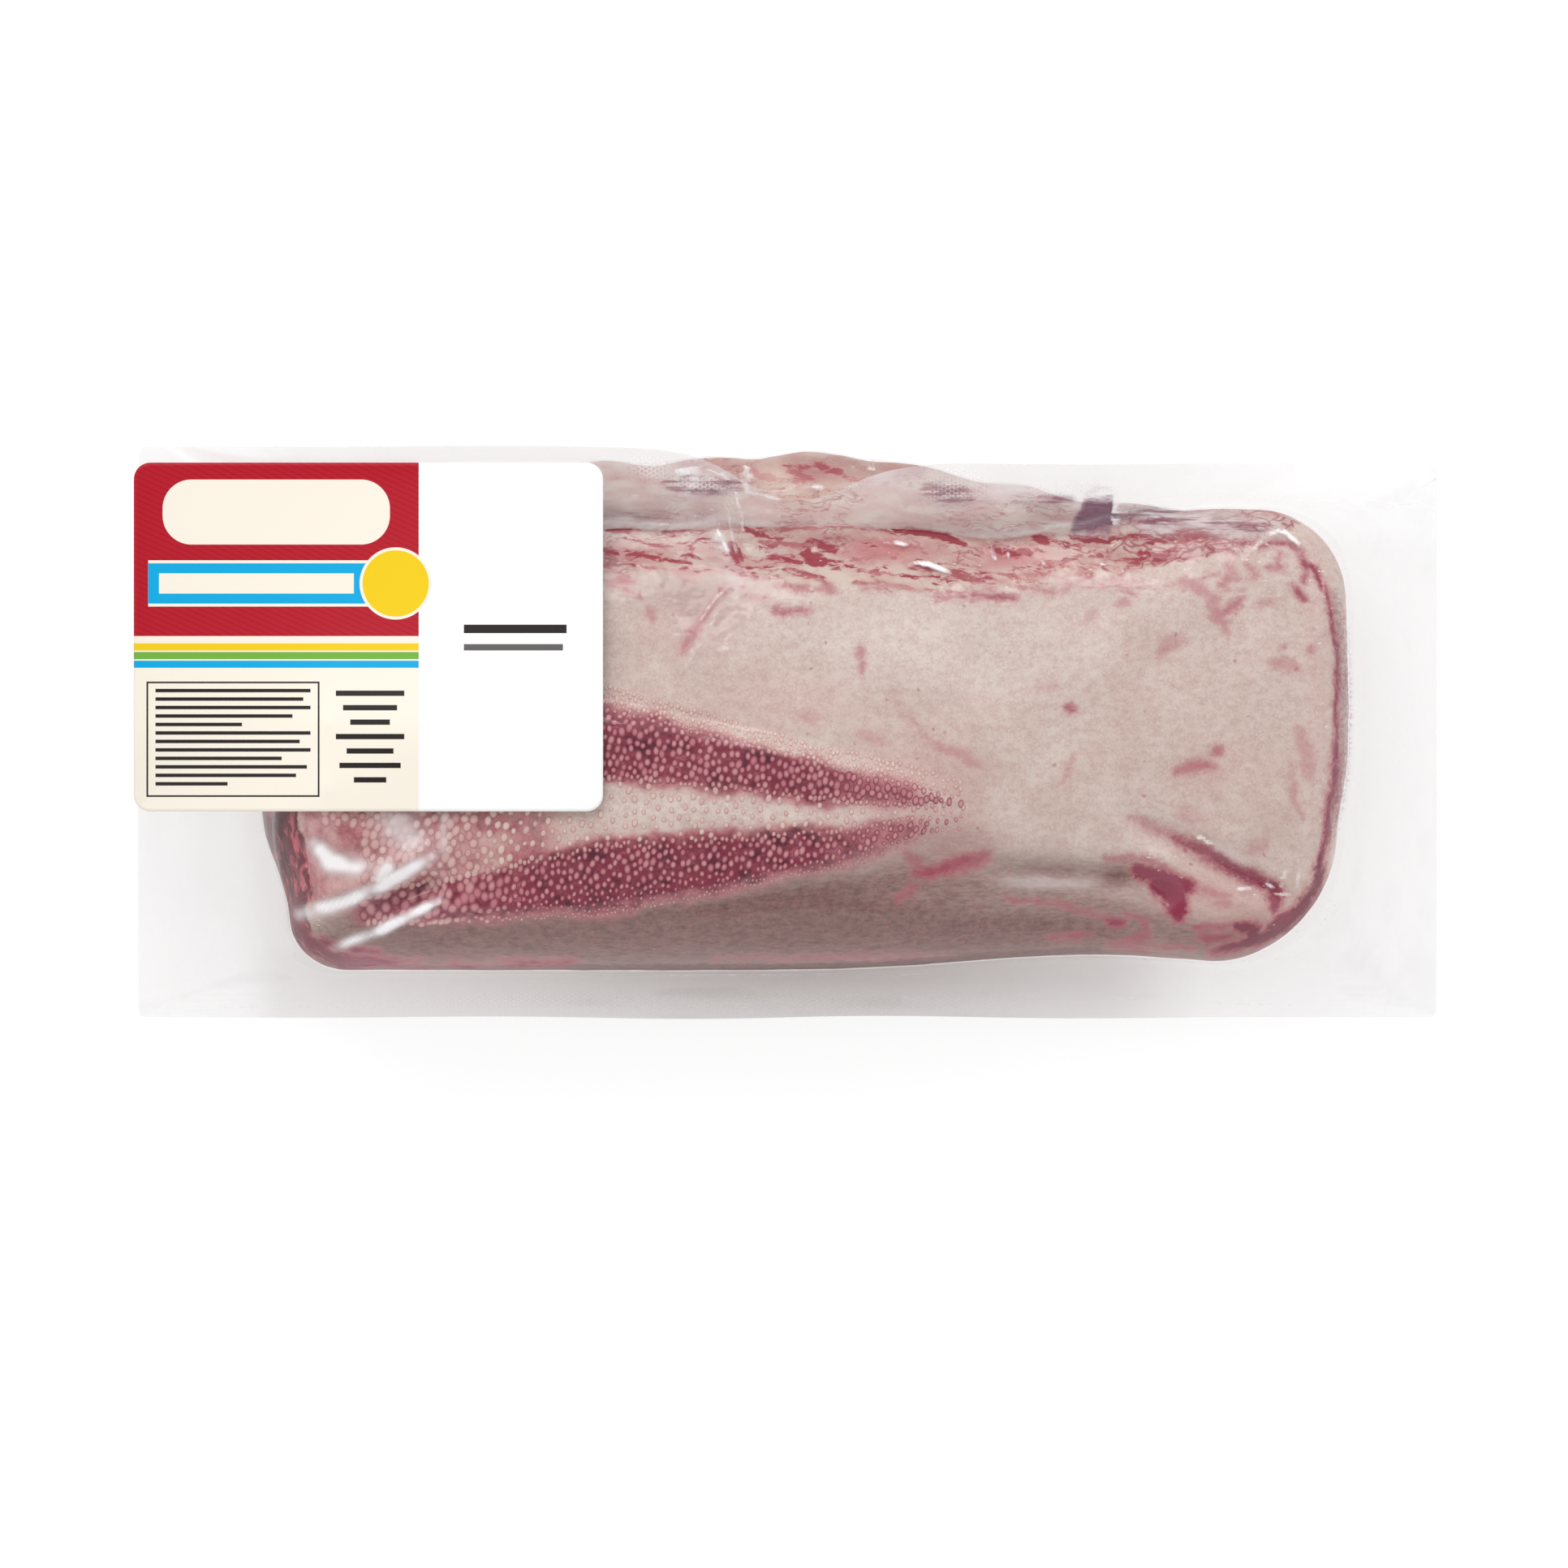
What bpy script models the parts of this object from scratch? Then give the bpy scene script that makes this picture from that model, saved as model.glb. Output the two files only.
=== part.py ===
"""A raw beef tongue, vacuum-packed in a clear film pouch with a stuck-on label.

The pack lies flat, as sold: the tongue's rough upper side faces up, its thick root
is at -X and its tip at +X. The pouch is one solid of the tongue in its tight film
with the sealed margin round it. The label is a thin sheet stuck over the root.

Metres, +Z up. The origin is the middle of the pack's box, on the table.
"""

import math

import bpy
import numpy as np
from mathutils import Vector
from mathutils.bvhtree import BVHTree

# The pouch's flat size, corner to corner
POUCH_LEFT = -0.1794
POUCH_RIGHT = 0.1806
POUCH_FRONT = -0.0794
POUCH_BACK = 0.0794
POUCH_CORNER = 0.002
FILM_THICKNESS = 0.0008

# The tongue's widest outline, seen from above
TONGUE_LEFT = -0.1455
TONGUE_RIGHT = 0.1545
TONGUE_FRONT = -0.0655
TONGUE_BACK = 0.0620
OUTLINE_CORNERS = (0.014, 0.048, 0.024, 0.024)  # front left, front right, back right, back left
LEFT_SLANT = 0.0075  # the front of the left side lies this far in
LEFT_SLANT_Y = -0.012  # where the slant starts
LEFT_SLANT_RUN = 0.048
LEFT_HALF_X, LEFT_HALF_RUN = -0.060, 0.060  # only points left of here are moved, fully from one run further on
WIDEST_HEIGHT = 0.0150  # of the widest line above the table
TIP_BOW = 0.0020
WAIST = 0.0042  # the front side is drawn in a little
WAIST_X = 0.062
WAIST_REACH = 0.055

# The edge of the fairly flat top, and of the flat underside
TOP_SLOPES = (0.021, 0.008, 0.018, 0.024)  # widths at the left, right, front and back
TOP_CORNERS = (0.016, 0.034, 0.014, 0.016)
FOOT_INSET = 0.012
FOOT_CORNERS = (0.010, 0.036, 0.014, 0.014)

# The back flank swells past the pouch's sealed edge
SWELL = 0.0152
SWELL_X = 0.012
SWELL_REACH_LEFT = 0.150
SWELL_REACH_RIGHT = 0.056
SWELL_LIFT = 0.004
FLANK_LUMP = 0.0007  # unevenness of the back flank

# Heights of the tongue's upper side
ROOT_HEIGHT = 0.0550
ROOT_END_DROP = 0.005
FRONT_OF_HUMP_DROP = 0.010
TIP_DROP = 0.009
CREST_Y = -0.022
BACK_FALL = 0.0105
FRONT_FALL = 0.0050
FALL_REACH = 0.060

# The hump at the back of the tongue, where the blunt papillae stand
HUMP_RISE = 0.0030
HUMP_TIP_X = 0.050
HUMP_TAPER = 0.6  # under 1 keeps the leaf wide until near its tip
HUMP_HALF_WIDTH = 0.0290
HUMP_FULL_WIDTH_X = -0.055
HUMP_SHOULDER = 0.007

# Where the two films meet round the tongue, as a share of the wall's width (1 is the widest line)
SEAM_BACK_SHARE = 0.46
SEAM_LEFT_SHARE = 0.55

# Heights of the sealed margin's outer edge
EDGE_HEIGHT = 0.0045
EDGE_FRONT_HEIGHT = 0.0100
EDGE_LEFT_LIFT = 0.0290
EDGE_BACK_LIFT = 0.0330

# The back margin is dragged inwards and up where the flank swells most
DRAG_X = 0.003
DRAG_REACH = 0.021
DRAG_IN = 0.0150
DRAG_UP = 0.0060
BACK_EDGE_SHIFT = 0.0048  # the right half of the back edge lies this far in
BACK_EDGE_SHIFT_X = 0.020

# The label
LABEL_LEFT = -0.1806
LABEL_RIGHT = -0.0505
LABEL_FRONT = -0.0218
LABEL_BACK = 0.0749
LABEL_CORNER = 0.0042
LABEL_THICKNESS = 0.0005
LABEL_GAP = 0.0004

# Mesh densities, in cells
CELLS_LONG = 80
CELLS_WIDE = 26
UPPER_WALL_RINGS = 5
LOWER_WALL_RINGS = 5
MARGIN_RINGS = 2
LABEL_CELLS_LONG = 22
LABEL_CELLS_WIDE = 16

# Folds of the tongue: points along the fold in plan, half its width, and its depth (below zero is a ridge)
FOLDS = (
    # creases at the front of the tip
    (((0.094, -0.022), (0.109, -0.0305), (0.125, -0.0385), (0.140, -0.0465)), 0.0038, 0.0036),
    (((0.050, -0.0365), (0.075, -0.0375), (0.098, -0.0400), (0.110, -0.0490)), 0.0042, 0.0038),
    (((0.064, -0.0500), (0.084, -0.0528), (0.102, -0.0560)), 0.0036, 0.0022),
    # rolled lips at the front of the root, with a hollow between
    (((-0.136, -0.0480), (-0.120, -0.0430), (-0.108, -0.0375), (-0.096, -0.0325)), 0.0044, -0.0024),
    (((-0.131, -0.0540), (-0.116, -0.0495), (-0.104, -0.0450), (-0.094, -0.0410)), 0.0040, 0.0040),
    (((-0.125, -0.0600), (-0.112, -0.0560), (-0.103, -0.0525), (-0.094, -0.0490)), 0.0044, -0.0020),
    # the long groove of the cut side along the back
    (((-0.050, 0.0520), (0.010, 0.0500), (0.070, 0.0500), (0.118, 0.0490)), 0.0055, 0.0020),
)

# Broad unevenness of the upper side: height, and the lengths of its waves along x and y
UNEVEN = 0.0006
UNEVEN_WAVES = (0.052, 0.037)


def eased(share):
    """0 below 0, 1 above 1, and a smooth step between."""
    t = np.clip(share, 0.0, 1.0)
    return t * t * (3.0 - 2.0 * t)


def bell(offset, reach):
    return np.exp(-((offset / reach) ** 2))


def distance_to_path(x, y, path):
    """The distance in plan to a line through the path's points, and the share of the line run there."""
    nearest = np.full(np.shape(x), 1e9)
    run = np.zeros(np.shape(x))
    lengths = [math.dist(a, b) for a, b in zip(path, path[1:])]
    before = 0.0
    for (ax, ay), (bx, by), length in zip(path, path[1:], lengths):
        along = np.clip(((x - ax) * (bx - ax) + (y - ay) * (by - ay)) / length**2, 0.0, 1.0)
        away = np.hypot(x - ax - along * (bx - ax), y - ay - along * (by - ay))
        closer = away < nearest
        nearest = np.where(closer, away, nearest)
        run = np.where(closer, (before + along * length) / sum(lengths), run)
        before += length
    return nearest, run


def folds_depth(x, y):
    """How far the folds lower the tongue's upper side at a place in plan."""
    depth = np.zeros(np.shape(x))
    for path, half_width, deep in FOLDS:
        away, run = distance_to_path(x, y, path)
        fades = eased(run / 0.2) * eased((1.0 - run) / 0.12)
        depth += deep * bell(away, half_width) * (0.25 + 0.75 * fades)
    return depth


def hump_share(x, y):
    """1 on the hump and 0 off it. In plan it is a long leaf that points at the tip."""
    narrowing = np.clip((HUMP_TIP_X - x) / (HUMP_TIP_X - HUMP_FULL_WIDTH_X), 0.0, 1.0)
    half_width = HUMP_HALF_WIDTH * narrowing**HUMP_TAPER
    return eased((half_width - np.abs(y - CREST_Y)) / HUMP_SHOULDER + 0.5) * eased(narrowing / 0.15)


def tongue_height(x, y):
    """The height of the tongue's upper side above the table."""
    crest = ROOT_HEIGHT - ROOT_END_DROP * (1.0 - eased((x - TONGUE_LEFT) / 0.060))
    crest = crest - FRONT_OF_HUMP_DROP * eased((x + 0.010) / 0.085)
    crest = crest - TIP_DROP * eased((x - 0.065) / 0.090)
    off_crest = (y - CREST_Y) / FALL_REACH
    slimmer = 1.0 - 0.55 * eased((x - 0.030) / 0.110)  # the tip is flatter across
    fall = np.where(off_crest > 0.0, BACK_FALL, FRONT_FALL) * off_crest**2 * slimmer
    long_wave, wide_wave = UNEVEN_WAVES
    uneven = UNEVEN * np.sin(math.tau * x / long_wave + 1.0) * np.cos(math.tau * y / wide_wave)
    return crest - fall + HUMP_RISE * hump_share(x, y) + uneven - folds_depth(x, y)


def resampled(points, count):
    """count points spaced evenly along a line, its last point left out."""
    points = np.array(points)
    steps = np.hypot(*np.diff(points, axis=0).T)
    run = np.concatenate([[0.0], np.cumsum(steps)])
    at = np.linspace(0.0, run[-1], count + 1)[:-1]
    return np.stack([np.interp(at, run, points[:, axis]) for axis in range(2)], axis=1)


def rounded_ring(left, right, front, back, radii):
    """A rectangle with round corners, as the points of a grid's edge: front, right, back and left side in turn.

    Each side runs from the middle of one corner's arc to the middle of the next.
    """
    signs = ((-1, -1), (1, -1), (1, 1), (-1, 1))
    corners = ((left, front), (right, front), (right, back), (left, back))
    half_arc = math.pi / 4
    arcs = []
    for i, ((sx, sy), (cx, cy), radius) in enumerate(zip(signs, corners, radii)):
        middle = math.atan2(sy, sx)
        angles = middle + np.linspace(-half_arc, half_arc, 17)
        arcs.append(
            np.stack(
                [
                    cx - sx * radius + radius * np.cos(angles),
                    cy - sy * radius + radius * np.sin(angles),
                ],
                axis=1,
            )
        )
    ring = []
    for side, cells in enumerate((CELLS_LONG, CELLS_WIDE, CELLS_LONG, CELLS_WIDE)):
        path = np.concatenate([arcs[side][8:], arcs[(side + 1) % 4][:9]])
        ring.append(resampled(path, cells))
    return np.concatenate(ring)


def swell_at(x):
    reach = np.where(x > SWELL_X, SWELL_REACH_RIGHT, SWELL_REACH_LEFT)
    return bell(x - SWELL_X, reach)


def slanted(ring):
    """The ring with the front of its left side moved in."""
    x, y = ring.T
    share = eased((LEFT_SLANT_Y - y) / LEFT_SLANT_RUN) * eased((LEFT_HALF_X - x) / LEFT_HALF_RUN)
    return np.stack([x + LEFT_SLANT * share, y], axis=1)


def widest_ring():
    """The tongue's outline: the back flank swells, the front is drawn in a little and the tip bows out."""
    ring = rounded_ring(TONGUE_LEFT, TONGUE_RIGHT, TONGUE_FRONT, TONGUE_BACK, OUTLINE_CORNERS)
    x, y = ring.T
    at_back = eased((y - 0.030) / 0.025)
    at_front = eased((-y - 0.030) / 0.025)
    bow = TIP_BOW * bell(y - 0.008, 0.045) * eased((x - 0.12) / 0.02)
    lumps = FLANK_LUMP * (np.sin(x * 210.0) + 0.6 * np.sin(x * 97.0 + 1.0)) * eased((0.13 - np.abs(x)) / 0.03)
    waist = WAIST * bell(x - WAIST_X, WAIST_REACH)
    return slanted(np.stack([x + bow, y + at_back * (SWELL * swell_at(x) + lumps) + at_front * waist], axis=1))


def top_ring():
    """The edge of the tongue's fairly flat top, inside its walls."""
    left, right, front, back = TOP_SLOPES
    ring = rounded_ring(
        TONGUE_LEFT + left, TONGUE_RIGHT - right, TONGUE_FRONT + front, TONGUE_BACK - back, TOP_CORNERS
    )
    return slanted(ring)


def foot_ring():
    inset = FOOT_INSET
    ring = rounded_ring(
        TONGUE_LEFT + inset, TONGUE_RIGHT - inset, TONGUE_FRONT + inset, TONGUE_BACK - inset, FOOT_CORNERS
    )
    return slanted(ring)


def edge_ring():
    """The pouch's cut edge, dragged in at the back where the flank swells most."""
    ring = rounded_ring(POUCH_LEFT, POUCH_RIGHT, POUCH_FRONT, POUCH_BACK, (POUCH_CORNER,) * 4)
    x, y = ring.T
    at_back = eased((y - 0.070) / 0.006)
    shift = BACK_EDGE_SHIFT * eased((x - BACK_EDGE_SHIFT_X + 0.02) / 0.04)
    dragged = DRAG_IN * bell(x - DRAG_X, DRAG_REACH)
    wave = 0.0005 * np.sin(x * 55.0) * np.clip(1.0 - np.abs(x) / 0.17, 0.0, 1.0)
    in_front = eased((-y - 0.070) / 0.006)
    return np.stack([x, y - at_back * (shift + dragged - wave) + in_front * (wave + 0.0005)], axis=1)


def seam_share():
    """Where the films meet on the wall at each point of the rings, from the top's edge (0) to the widest line (1)."""
    x, y = widest_ring().T
    at_back = eased((y - 0.048) / 0.014)
    along_back = eased((x + 0.150) / 0.030) * (1.0 - eased((x - 0.055) / 0.065))
    at_left = eased((-x - 0.120) / 0.020) * eased((y + 0.060) / 0.060)
    back_drop = (1.0 - SEAM_BACK_SHARE) * at_back * along_back
    left_drop = (1.0 - SEAM_LEFT_SHARE) * at_left
    return 1.0 - np.maximum(back_drop, left_drop)


def edge_heights():
    """The height of the pouch's cut edge at each point of the rings."""
    x, y = edge_ring().T
    along_back = eased((x + 0.260) / 0.120) * (1.0 - eased((x - 0.040) / 0.120))
    back = EDGE_BACK_LIFT * eased((y - 0.010) / 0.065) * along_back
    left = EDGE_LEFT_LIFT * eased((-x - 0.120) / 0.055) * eased((y + 0.085) / 0.090)
    front = (EDGE_FRONT_HEIGHT - EDGE_HEIGHT) * bell(x, 0.110) * eased((-y - 0.050) / 0.02)
    dragged = DRAG_UP * bell(x - DRAG_X, DRAG_REACH) * eased((y - 0.03) / 0.02)
    return EDGE_HEIGHT + np.maximum(back, left) + front + dragged


def wall_points(angles):
    """Points on the tongue's wall. An angle of 0 is the top's edge, 90 degrees the widest line, 180 the foot."""
    top, widest, foot = top_ring(), widest_ring(), foot_ring()
    level = WIDEST_HEIGHT + SWELL_LIFT * swell_at(widest[:, 0]) * eased(widest[:, 1] / 0.05)
    over = np.minimum(angles, math.pi / 2)
    under = np.maximum(angles - math.pi / 2, 0.0)
    share = np.sin(over)[:, None]
    plan = top + (widest - top) * share
    plan = plan + (foot - plan) * (1.0 - np.cos(under))[:, None] * (angles > math.pi / 2)[:, None]
    upper = level + (tongue_height(*plan.T) - level) * np.cos(over) ** 0.85
    lower = level * (1.0 - np.sin(under))
    height = np.where(angles > math.pi / 2, lower, upper)
    return np.column_stack([plan, height])


def top_patch():
    """The grid of points over the flat top, inside its edge. The edge's own points are in the rings."""
    ring = top_ring()
    front = ring[: CELLS_LONG + 1]
    right = ring[CELLS_LONG : CELLS_LONG + CELLS_WIDE + 1]
    back = ring[CELLS_LONG + CELLS_WIDE : 2 * CELLS_LONG + CELLS_WIDE + 1][::-1]
    left = np.concatenate([ring[2 * CELLS_LONG + CELLS_WIDE :], ring[:1]])[::-1]
    points = []
    for j in range(1, CELLS_WIDE):
        v = j / CELLS_WIDE
        for i in range(1, CELLS_LONG):
            u = i / CELLS_LONG
            across = (1 - v) * front[i] + v * back[i]
            along = (1 - u) * left[j] + u * right[j]
            corners = (1 - v) * ((1 - u) * front[0] + u * front[-1]) + v * ((1 - u) * back[0] + u * back[-1])
            points.append(across + along - corners)
    points = np.array(points)
    return np.column_stack([points, tongue_height(*points.T)])


def patch_faces(ring_start, patch_start):
    """Quads of a grid whose edge is a ring and whose inside is a patch."""
    perimeter = 2 * (CELLS_LONG + CELLS_WIDE)

    def index(i, j):
        if j == 0:
            return ring_start + i
        if i == CELLS_LONG:
            return ring_start + CELLS_LONG + j
        if j == CELLS_WIDE:
            return ring_start + 2 * CELLS_LONG + CELLS_WIDE - i
        if i == 0:
            return ring_start + perimeter - j
        return patch_start + (j - 1) * (CELLS_LONG - 1) + (i - 1)

    return [
        (index(i, j), index(i + 1, j), index(i + 1, j + 1), index(i, j + 1))
        for j in range(CELLS_WIDE)
        for i in range(CELLS_LONG)
    ]


def band_faces(first, second, count):
    """Quads between two rings that follow each other outwards and down."""
    return [
        (first + i, second + i, second + (i + 1) % count, first + (i + 1) % count)
        for i in range(count)
    ]


def pouch_rings():
    """All rings from the top's edge down: upper wall, margin out, cut edge, margin back, lower wall and foot."""
    seam = np.arcsin(np.clip(seam_share(), 0.0, 1.0))
    half_film = np.array([0.0, 0.0, FILM_THICKNESS / 2])
    rings = [wall_points(seam * share) for share in np.linspace(0.0, 1.0, UPPER_WALL_RINGS + 1)[:-1]]
    at_seam = wall_points(seam)
    edge = np.column_stack([edge_ring(), edge_heights()])
    margin = []
    for share in np.linspace(0.0, 1.0, MARGIN_RINGS + 1):
        line = at_seam + (edge - at_seam) * share
        line[:, 2] = at_seam[:, 2] + (edge[:, 2] - at_seam[:, 2]) * share**0.85
        margin.append(line)
    rings += [line + half_film for line in margin]
    rings += [line - half_film for line in reversed(margin)]
    for share in np.linspace(0.0, 1.0, LOWER_WALL_RINGS + 1)[1:]:
        rings.append(wall_points(seam + (math.pi - seam) * share))
    return rings


def add_object(name, points, faces, material):
    mesh = bpy.data.meshes.new(name)
    mesh.from_pydata([tuple(map(float, p)) for p in points], [], faces)
    mesh.materials.append(material)
    mesh.shade_smooth()
    mesh.set_sharp_from_angle(angle=math.radians(40))
    mesh.update()
    part = bpy.data.objects.new(name, mesh)
    bpy.context.scene.collection.objects.link(part)
    return part


def make_pouch(material):
    """The tongue in its tight film, with the sealed margin that stands out round it."""
    rings = pouch_rings()
    count = 2 * (CELLS_LONG + CELLS_WIDE)
    points = np.concatenate(rings + [top_patch()])
    faces = patch_faces(0, count * len(rings))
    for k in range(len(rings) - 1):
        faces += band_faces(count * k, count * (k + 1), count)
    last = count * (len(rings) - 1)
    faces.append(tuple(last + i for i in reversed(range(count))))
    return add_object("pouch", points, faces, material)


def label_plan():
    """The label's grid in plan, its corner points drawn in to round the corners."""
    u = np.linspace(0.0, 1.0, LABEL_CELLS_LONG + 1)
    v = np.linspace(0.0, 1.0, LABEL_CELLS_WIDE + 1)
    x = LABEL_LEFT + (LABEL_RIGHT - LABEL_LEFT) * u[None, :] + 0.0 * v[:, None]
    y = LABEL_FRONT + (LABEL_BACK - LABEL_FRONT) * v[:, None] + 0.0 * u[None, :]
    trim = LABEL_CORNER * (1.0 - math.sqrt(0.5))
    for row, toward_y in ((0, 1), (-1, -1)):
        for column, toward_x in ((0, 1), (-1, -1)):
            x[row, column] += toward_x * trim
            y[row, column] += toward_y * trim
    return x, y


def pouch_height(tree, x, y):
    """The height of the pouch's upper side at a place in plan."""
    inside = Vector((max(x, POUCH_LEFT + 0.0005), y, 0.2))
    return tree.ray_cast(inside, Vector((0.0, 0.0, -1.0)))[0].z


def label_heights(x, y, pouch):
    """The underside of the label: laid on the pouch, and bridging its hollows as a stiff sheet does."""
    tree = BVHTree.FromPolygons([v.co for v in pouch.data.vertices], [tuple(p.vertices) for p in pouch.data.polygons])
    resting = np.zeros(x.shape)
    for row, column in np.ndindex(x.shape):
        resting[row, column] = pouch_height(tree, x[row, column], y[row, column]) + LABEL_GAP
    height = resting.copy()
    for _ in range(300):
        inside = (height[1:-1, :-2] + height[1:-1, 2:] + height[:-2, 1:-1] + height[2:, 1:-1]) / 4
        height[1:-1, 1:-1] = np.maximum(resting[1:-1, 1:-1], inside)
        for edge, inner in ((0, 1), (-1, -2)):
            height[edge, 1:-1] = np.maximum(resting[edge, 1:-1], (height[edge, :-2] + height[edge, 2:]) / 2)
            height[1:-1, edge] = np.maximum(resting[1:-1, edge], (height[:-2, edge] + height[2:, edge]) / 2)
    # Each cell is two flat triangles, so its corners rise until no pouch shows through them
    shares = [(u, v) for u in (0.0, 0.25, 0.5, 0.75, 1.0) for v in (0.0, 0.25, 0.5, 0.75, 1.0)]
    for row in range(x.shape[0] - 1):
        for column in range(x.shape[1] - 1):
            cell = (slice(row, row + 2), slice(column, column + 2))
            lacking = 0.0
            for u, v in shares:
                weights = np.array([[1 - max(u, v), max(u - v, 0.0)], [max(v - u, 0.0), min(u, v)]])
                needed = pouch_height(tree, (x[cell] * weights).sum(), (y[cell] * weights).sum()) + LABEL_GAP
                lacking = max(lacking, needed - (height[cell] * weights).sum())
            height[cell] += lacking
    return height


def make_label(pouch, material):
    """The printed label, a thin sheet stuck on the pouch over the tongue's root."""
    x, y = label_plan()
    under = label_heights(x, y, pouch)
    rows, columns = x.shape
    bottom = np.stack([x, y, under], axis=-1).reshape(-1, 3)
    top = bottom + [0.0, 0.0, LABEL_THICKNESS]
    size = rows * columns
    faces = []
    for j in range(rows - 1):
        for i in range(columns - 1):
            a = j * columns + i
            b, c, d = a + 1, a + columns + 1, a + columns
            faces.append((a, d, c))
            faces.append((a, c, b))
            faces.append((size + a, size + b, size + c))
            faces.append((size + a, size + c, size + d))
    rim = (
        [i for i in range(columns)]
        + [j * columns + columns - 1 for j in range(1, rows)]
        + [(rows - 1) * columns + i for i in range(columns - 2, -1, -1)]
        + [j * columns for j in range(rows - 2, 0, -1)]
    )
    for a, b in zip(rim, rim[1:] + rim[:1]):
        faces.append((a, b, size + b, size + a))
    return add_object("label", np.concatenate([bottom, top]), faces, material)


def make_material(name, colour, roughness):
    material = bpy.data.materials.new(name)
    material.use_nodes = True
    shader = material.node_tree.nodes["Principled BSDF"]
    shader.inputs["Base Color"].default_value = (*colour, 1.0)
    shader.inputs["Roughness"].default_value = roughness
    shader.inputs["Metallic"].default_value = 0.0
    return material


def main():
    for old in list(bpy.data.objects):
        bpy.data.objects.remove(old, do_unlink=True)
    meat_in_film = make_material("meat_in_film", (0.55, 0.36, 0.32), 0.25)
    printed_sheet = make_material("printed_sheet", (0.92, 0.90, 0.86), 0.35)
    pouch = make_pouch(meat_in_film)
    make_label(pouch, printed_sheet)


main()
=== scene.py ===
import math
from functools import partialmethod

import bpy
import numpy as np
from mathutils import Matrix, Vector
from mathutils.bvhtree import BVHTree


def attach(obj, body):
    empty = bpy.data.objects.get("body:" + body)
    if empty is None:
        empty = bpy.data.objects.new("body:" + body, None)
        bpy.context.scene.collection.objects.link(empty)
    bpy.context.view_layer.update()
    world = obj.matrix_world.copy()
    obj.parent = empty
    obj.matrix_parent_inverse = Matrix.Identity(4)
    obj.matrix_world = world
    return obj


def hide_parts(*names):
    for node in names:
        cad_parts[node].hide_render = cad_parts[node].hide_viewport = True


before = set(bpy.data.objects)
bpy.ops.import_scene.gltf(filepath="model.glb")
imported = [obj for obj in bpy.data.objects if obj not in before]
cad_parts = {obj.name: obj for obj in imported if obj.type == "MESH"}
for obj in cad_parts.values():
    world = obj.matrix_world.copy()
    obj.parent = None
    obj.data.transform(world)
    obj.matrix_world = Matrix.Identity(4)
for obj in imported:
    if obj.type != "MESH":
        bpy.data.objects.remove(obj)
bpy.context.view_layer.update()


# The table, the light and the camera. The pack lies on a white table and is seen from
# straight above. A soft light stands beyond its back left, and a pale room lights the rest.

MM = 0.001
PICTURE_WIDTH = 434.7 * MM  # of the table that the picture takes in
PICTURE_MIDDLE = (-0.34 * MM, -14.2 * MM)
CAMERA_HEIGHT = 1.2
TABLE_SIDE, TABLE_DROP = 6.0, 0.3 * MM
TABLE_WHITE = (0.32, 0.32, 0.32)
TABLE_GLOW = 0.74  # the table is lit from below, so the pack throws hardly a shadow
KEY_PLACE, KEY_SIZE, KEY_WATTS = (-0.42, 1.30, 1.10), (1.2, 0.8), 11.0
ROOM_LIGHT = 1.08
OVERHEAD_LIGHT = 0.18  # the ceiling straight above is darker, so the film doesn't veil the meat
OVERHEAD_FROM, OVERHEAD_TO = 0.80, 0.96  # where the ceiling darkens, as the height of a direction of length 1
WHITE_LIGHT = (1.0, 1.0, 1.0)

scene = bpy.context.scene
scene.view_settings.view_transform = "Standard"


def fill(tree, node, values):
    """Fills a node's inputs, each with a number, a colour or another node's output."""
    for name, value in values.items():
        socket = node.inputs[name]
        if isinstance(value, bpy.types.NodeSocket):
            tree.links.new(value, socket)
        elif isinstance(value, tuple) and socket.type == "RGBA":
            socket.default_value = (*value, 1.0)
        else:
            socket.default_value = value


def add_node(tree, kind, values=None, **settings):
    node = tree.nodes.new(kind)
    for name, value in settings.items():
        setattr(node, name, value)
    fill(tree, node, values or {})
    return node


def new_material(name):
    """A material and its tree, with its Principled shader joined to the output."""
    material = bpy.data.materials.new(name)
    material.use_nodes = True
    return material, material.node_tree, material.node_tree.nodes["Principled BSDF"]


def mesh_piece(name, points, faces, material):
    """A smooth mesh object with one material."""
    mesh = bpy.data.meshes.new(name)
    mesh.from_pydata(np.asarray(points, float).tolist(), [], faces)
    mesh.materials.append(material)
    mesh.shade_smooth()
    mesh.update()
    piece = bpy.data.objects.new(name, mesh)
    scene.collection.objects.link(piece)
    return piece


table_paint, table_tree, table_shader = new_material("white_table")
table_glow = {"Emission Color": WHITE_LIGHT, "Emission Strength": TABLE_GLOW}
fill(table_tree, table_shader, {"Base Color": TABLE_WHITE, "Roughness": 0.8, **table_glow})
half = TABLE_SIDE / 2
table_corners = [(x, y, -TABLE_DROP) for x, y in ((-half, -half), (half, -half), (half, half), (-half, half))]
table = mesh_piece("table", table_corners, [(0, 1, 2, 3)], table_paint)

light = bpy.data.lights.new("light_beyond", "AREA")
light.shape = "RECTANGLE"
light.size, light.size_y = KEY_SIZE
light.energy = KEY_WATTS
lamp = bpy.data.objects.new("light_beyond", light)
lamp.location = KEY_PLACE
lamp.rotation_euler = (-Vector(KEY_PLACE)).to_track_quat("-Z", "Y").to_euler()
scene.collection.objects.link(lamp)

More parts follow.
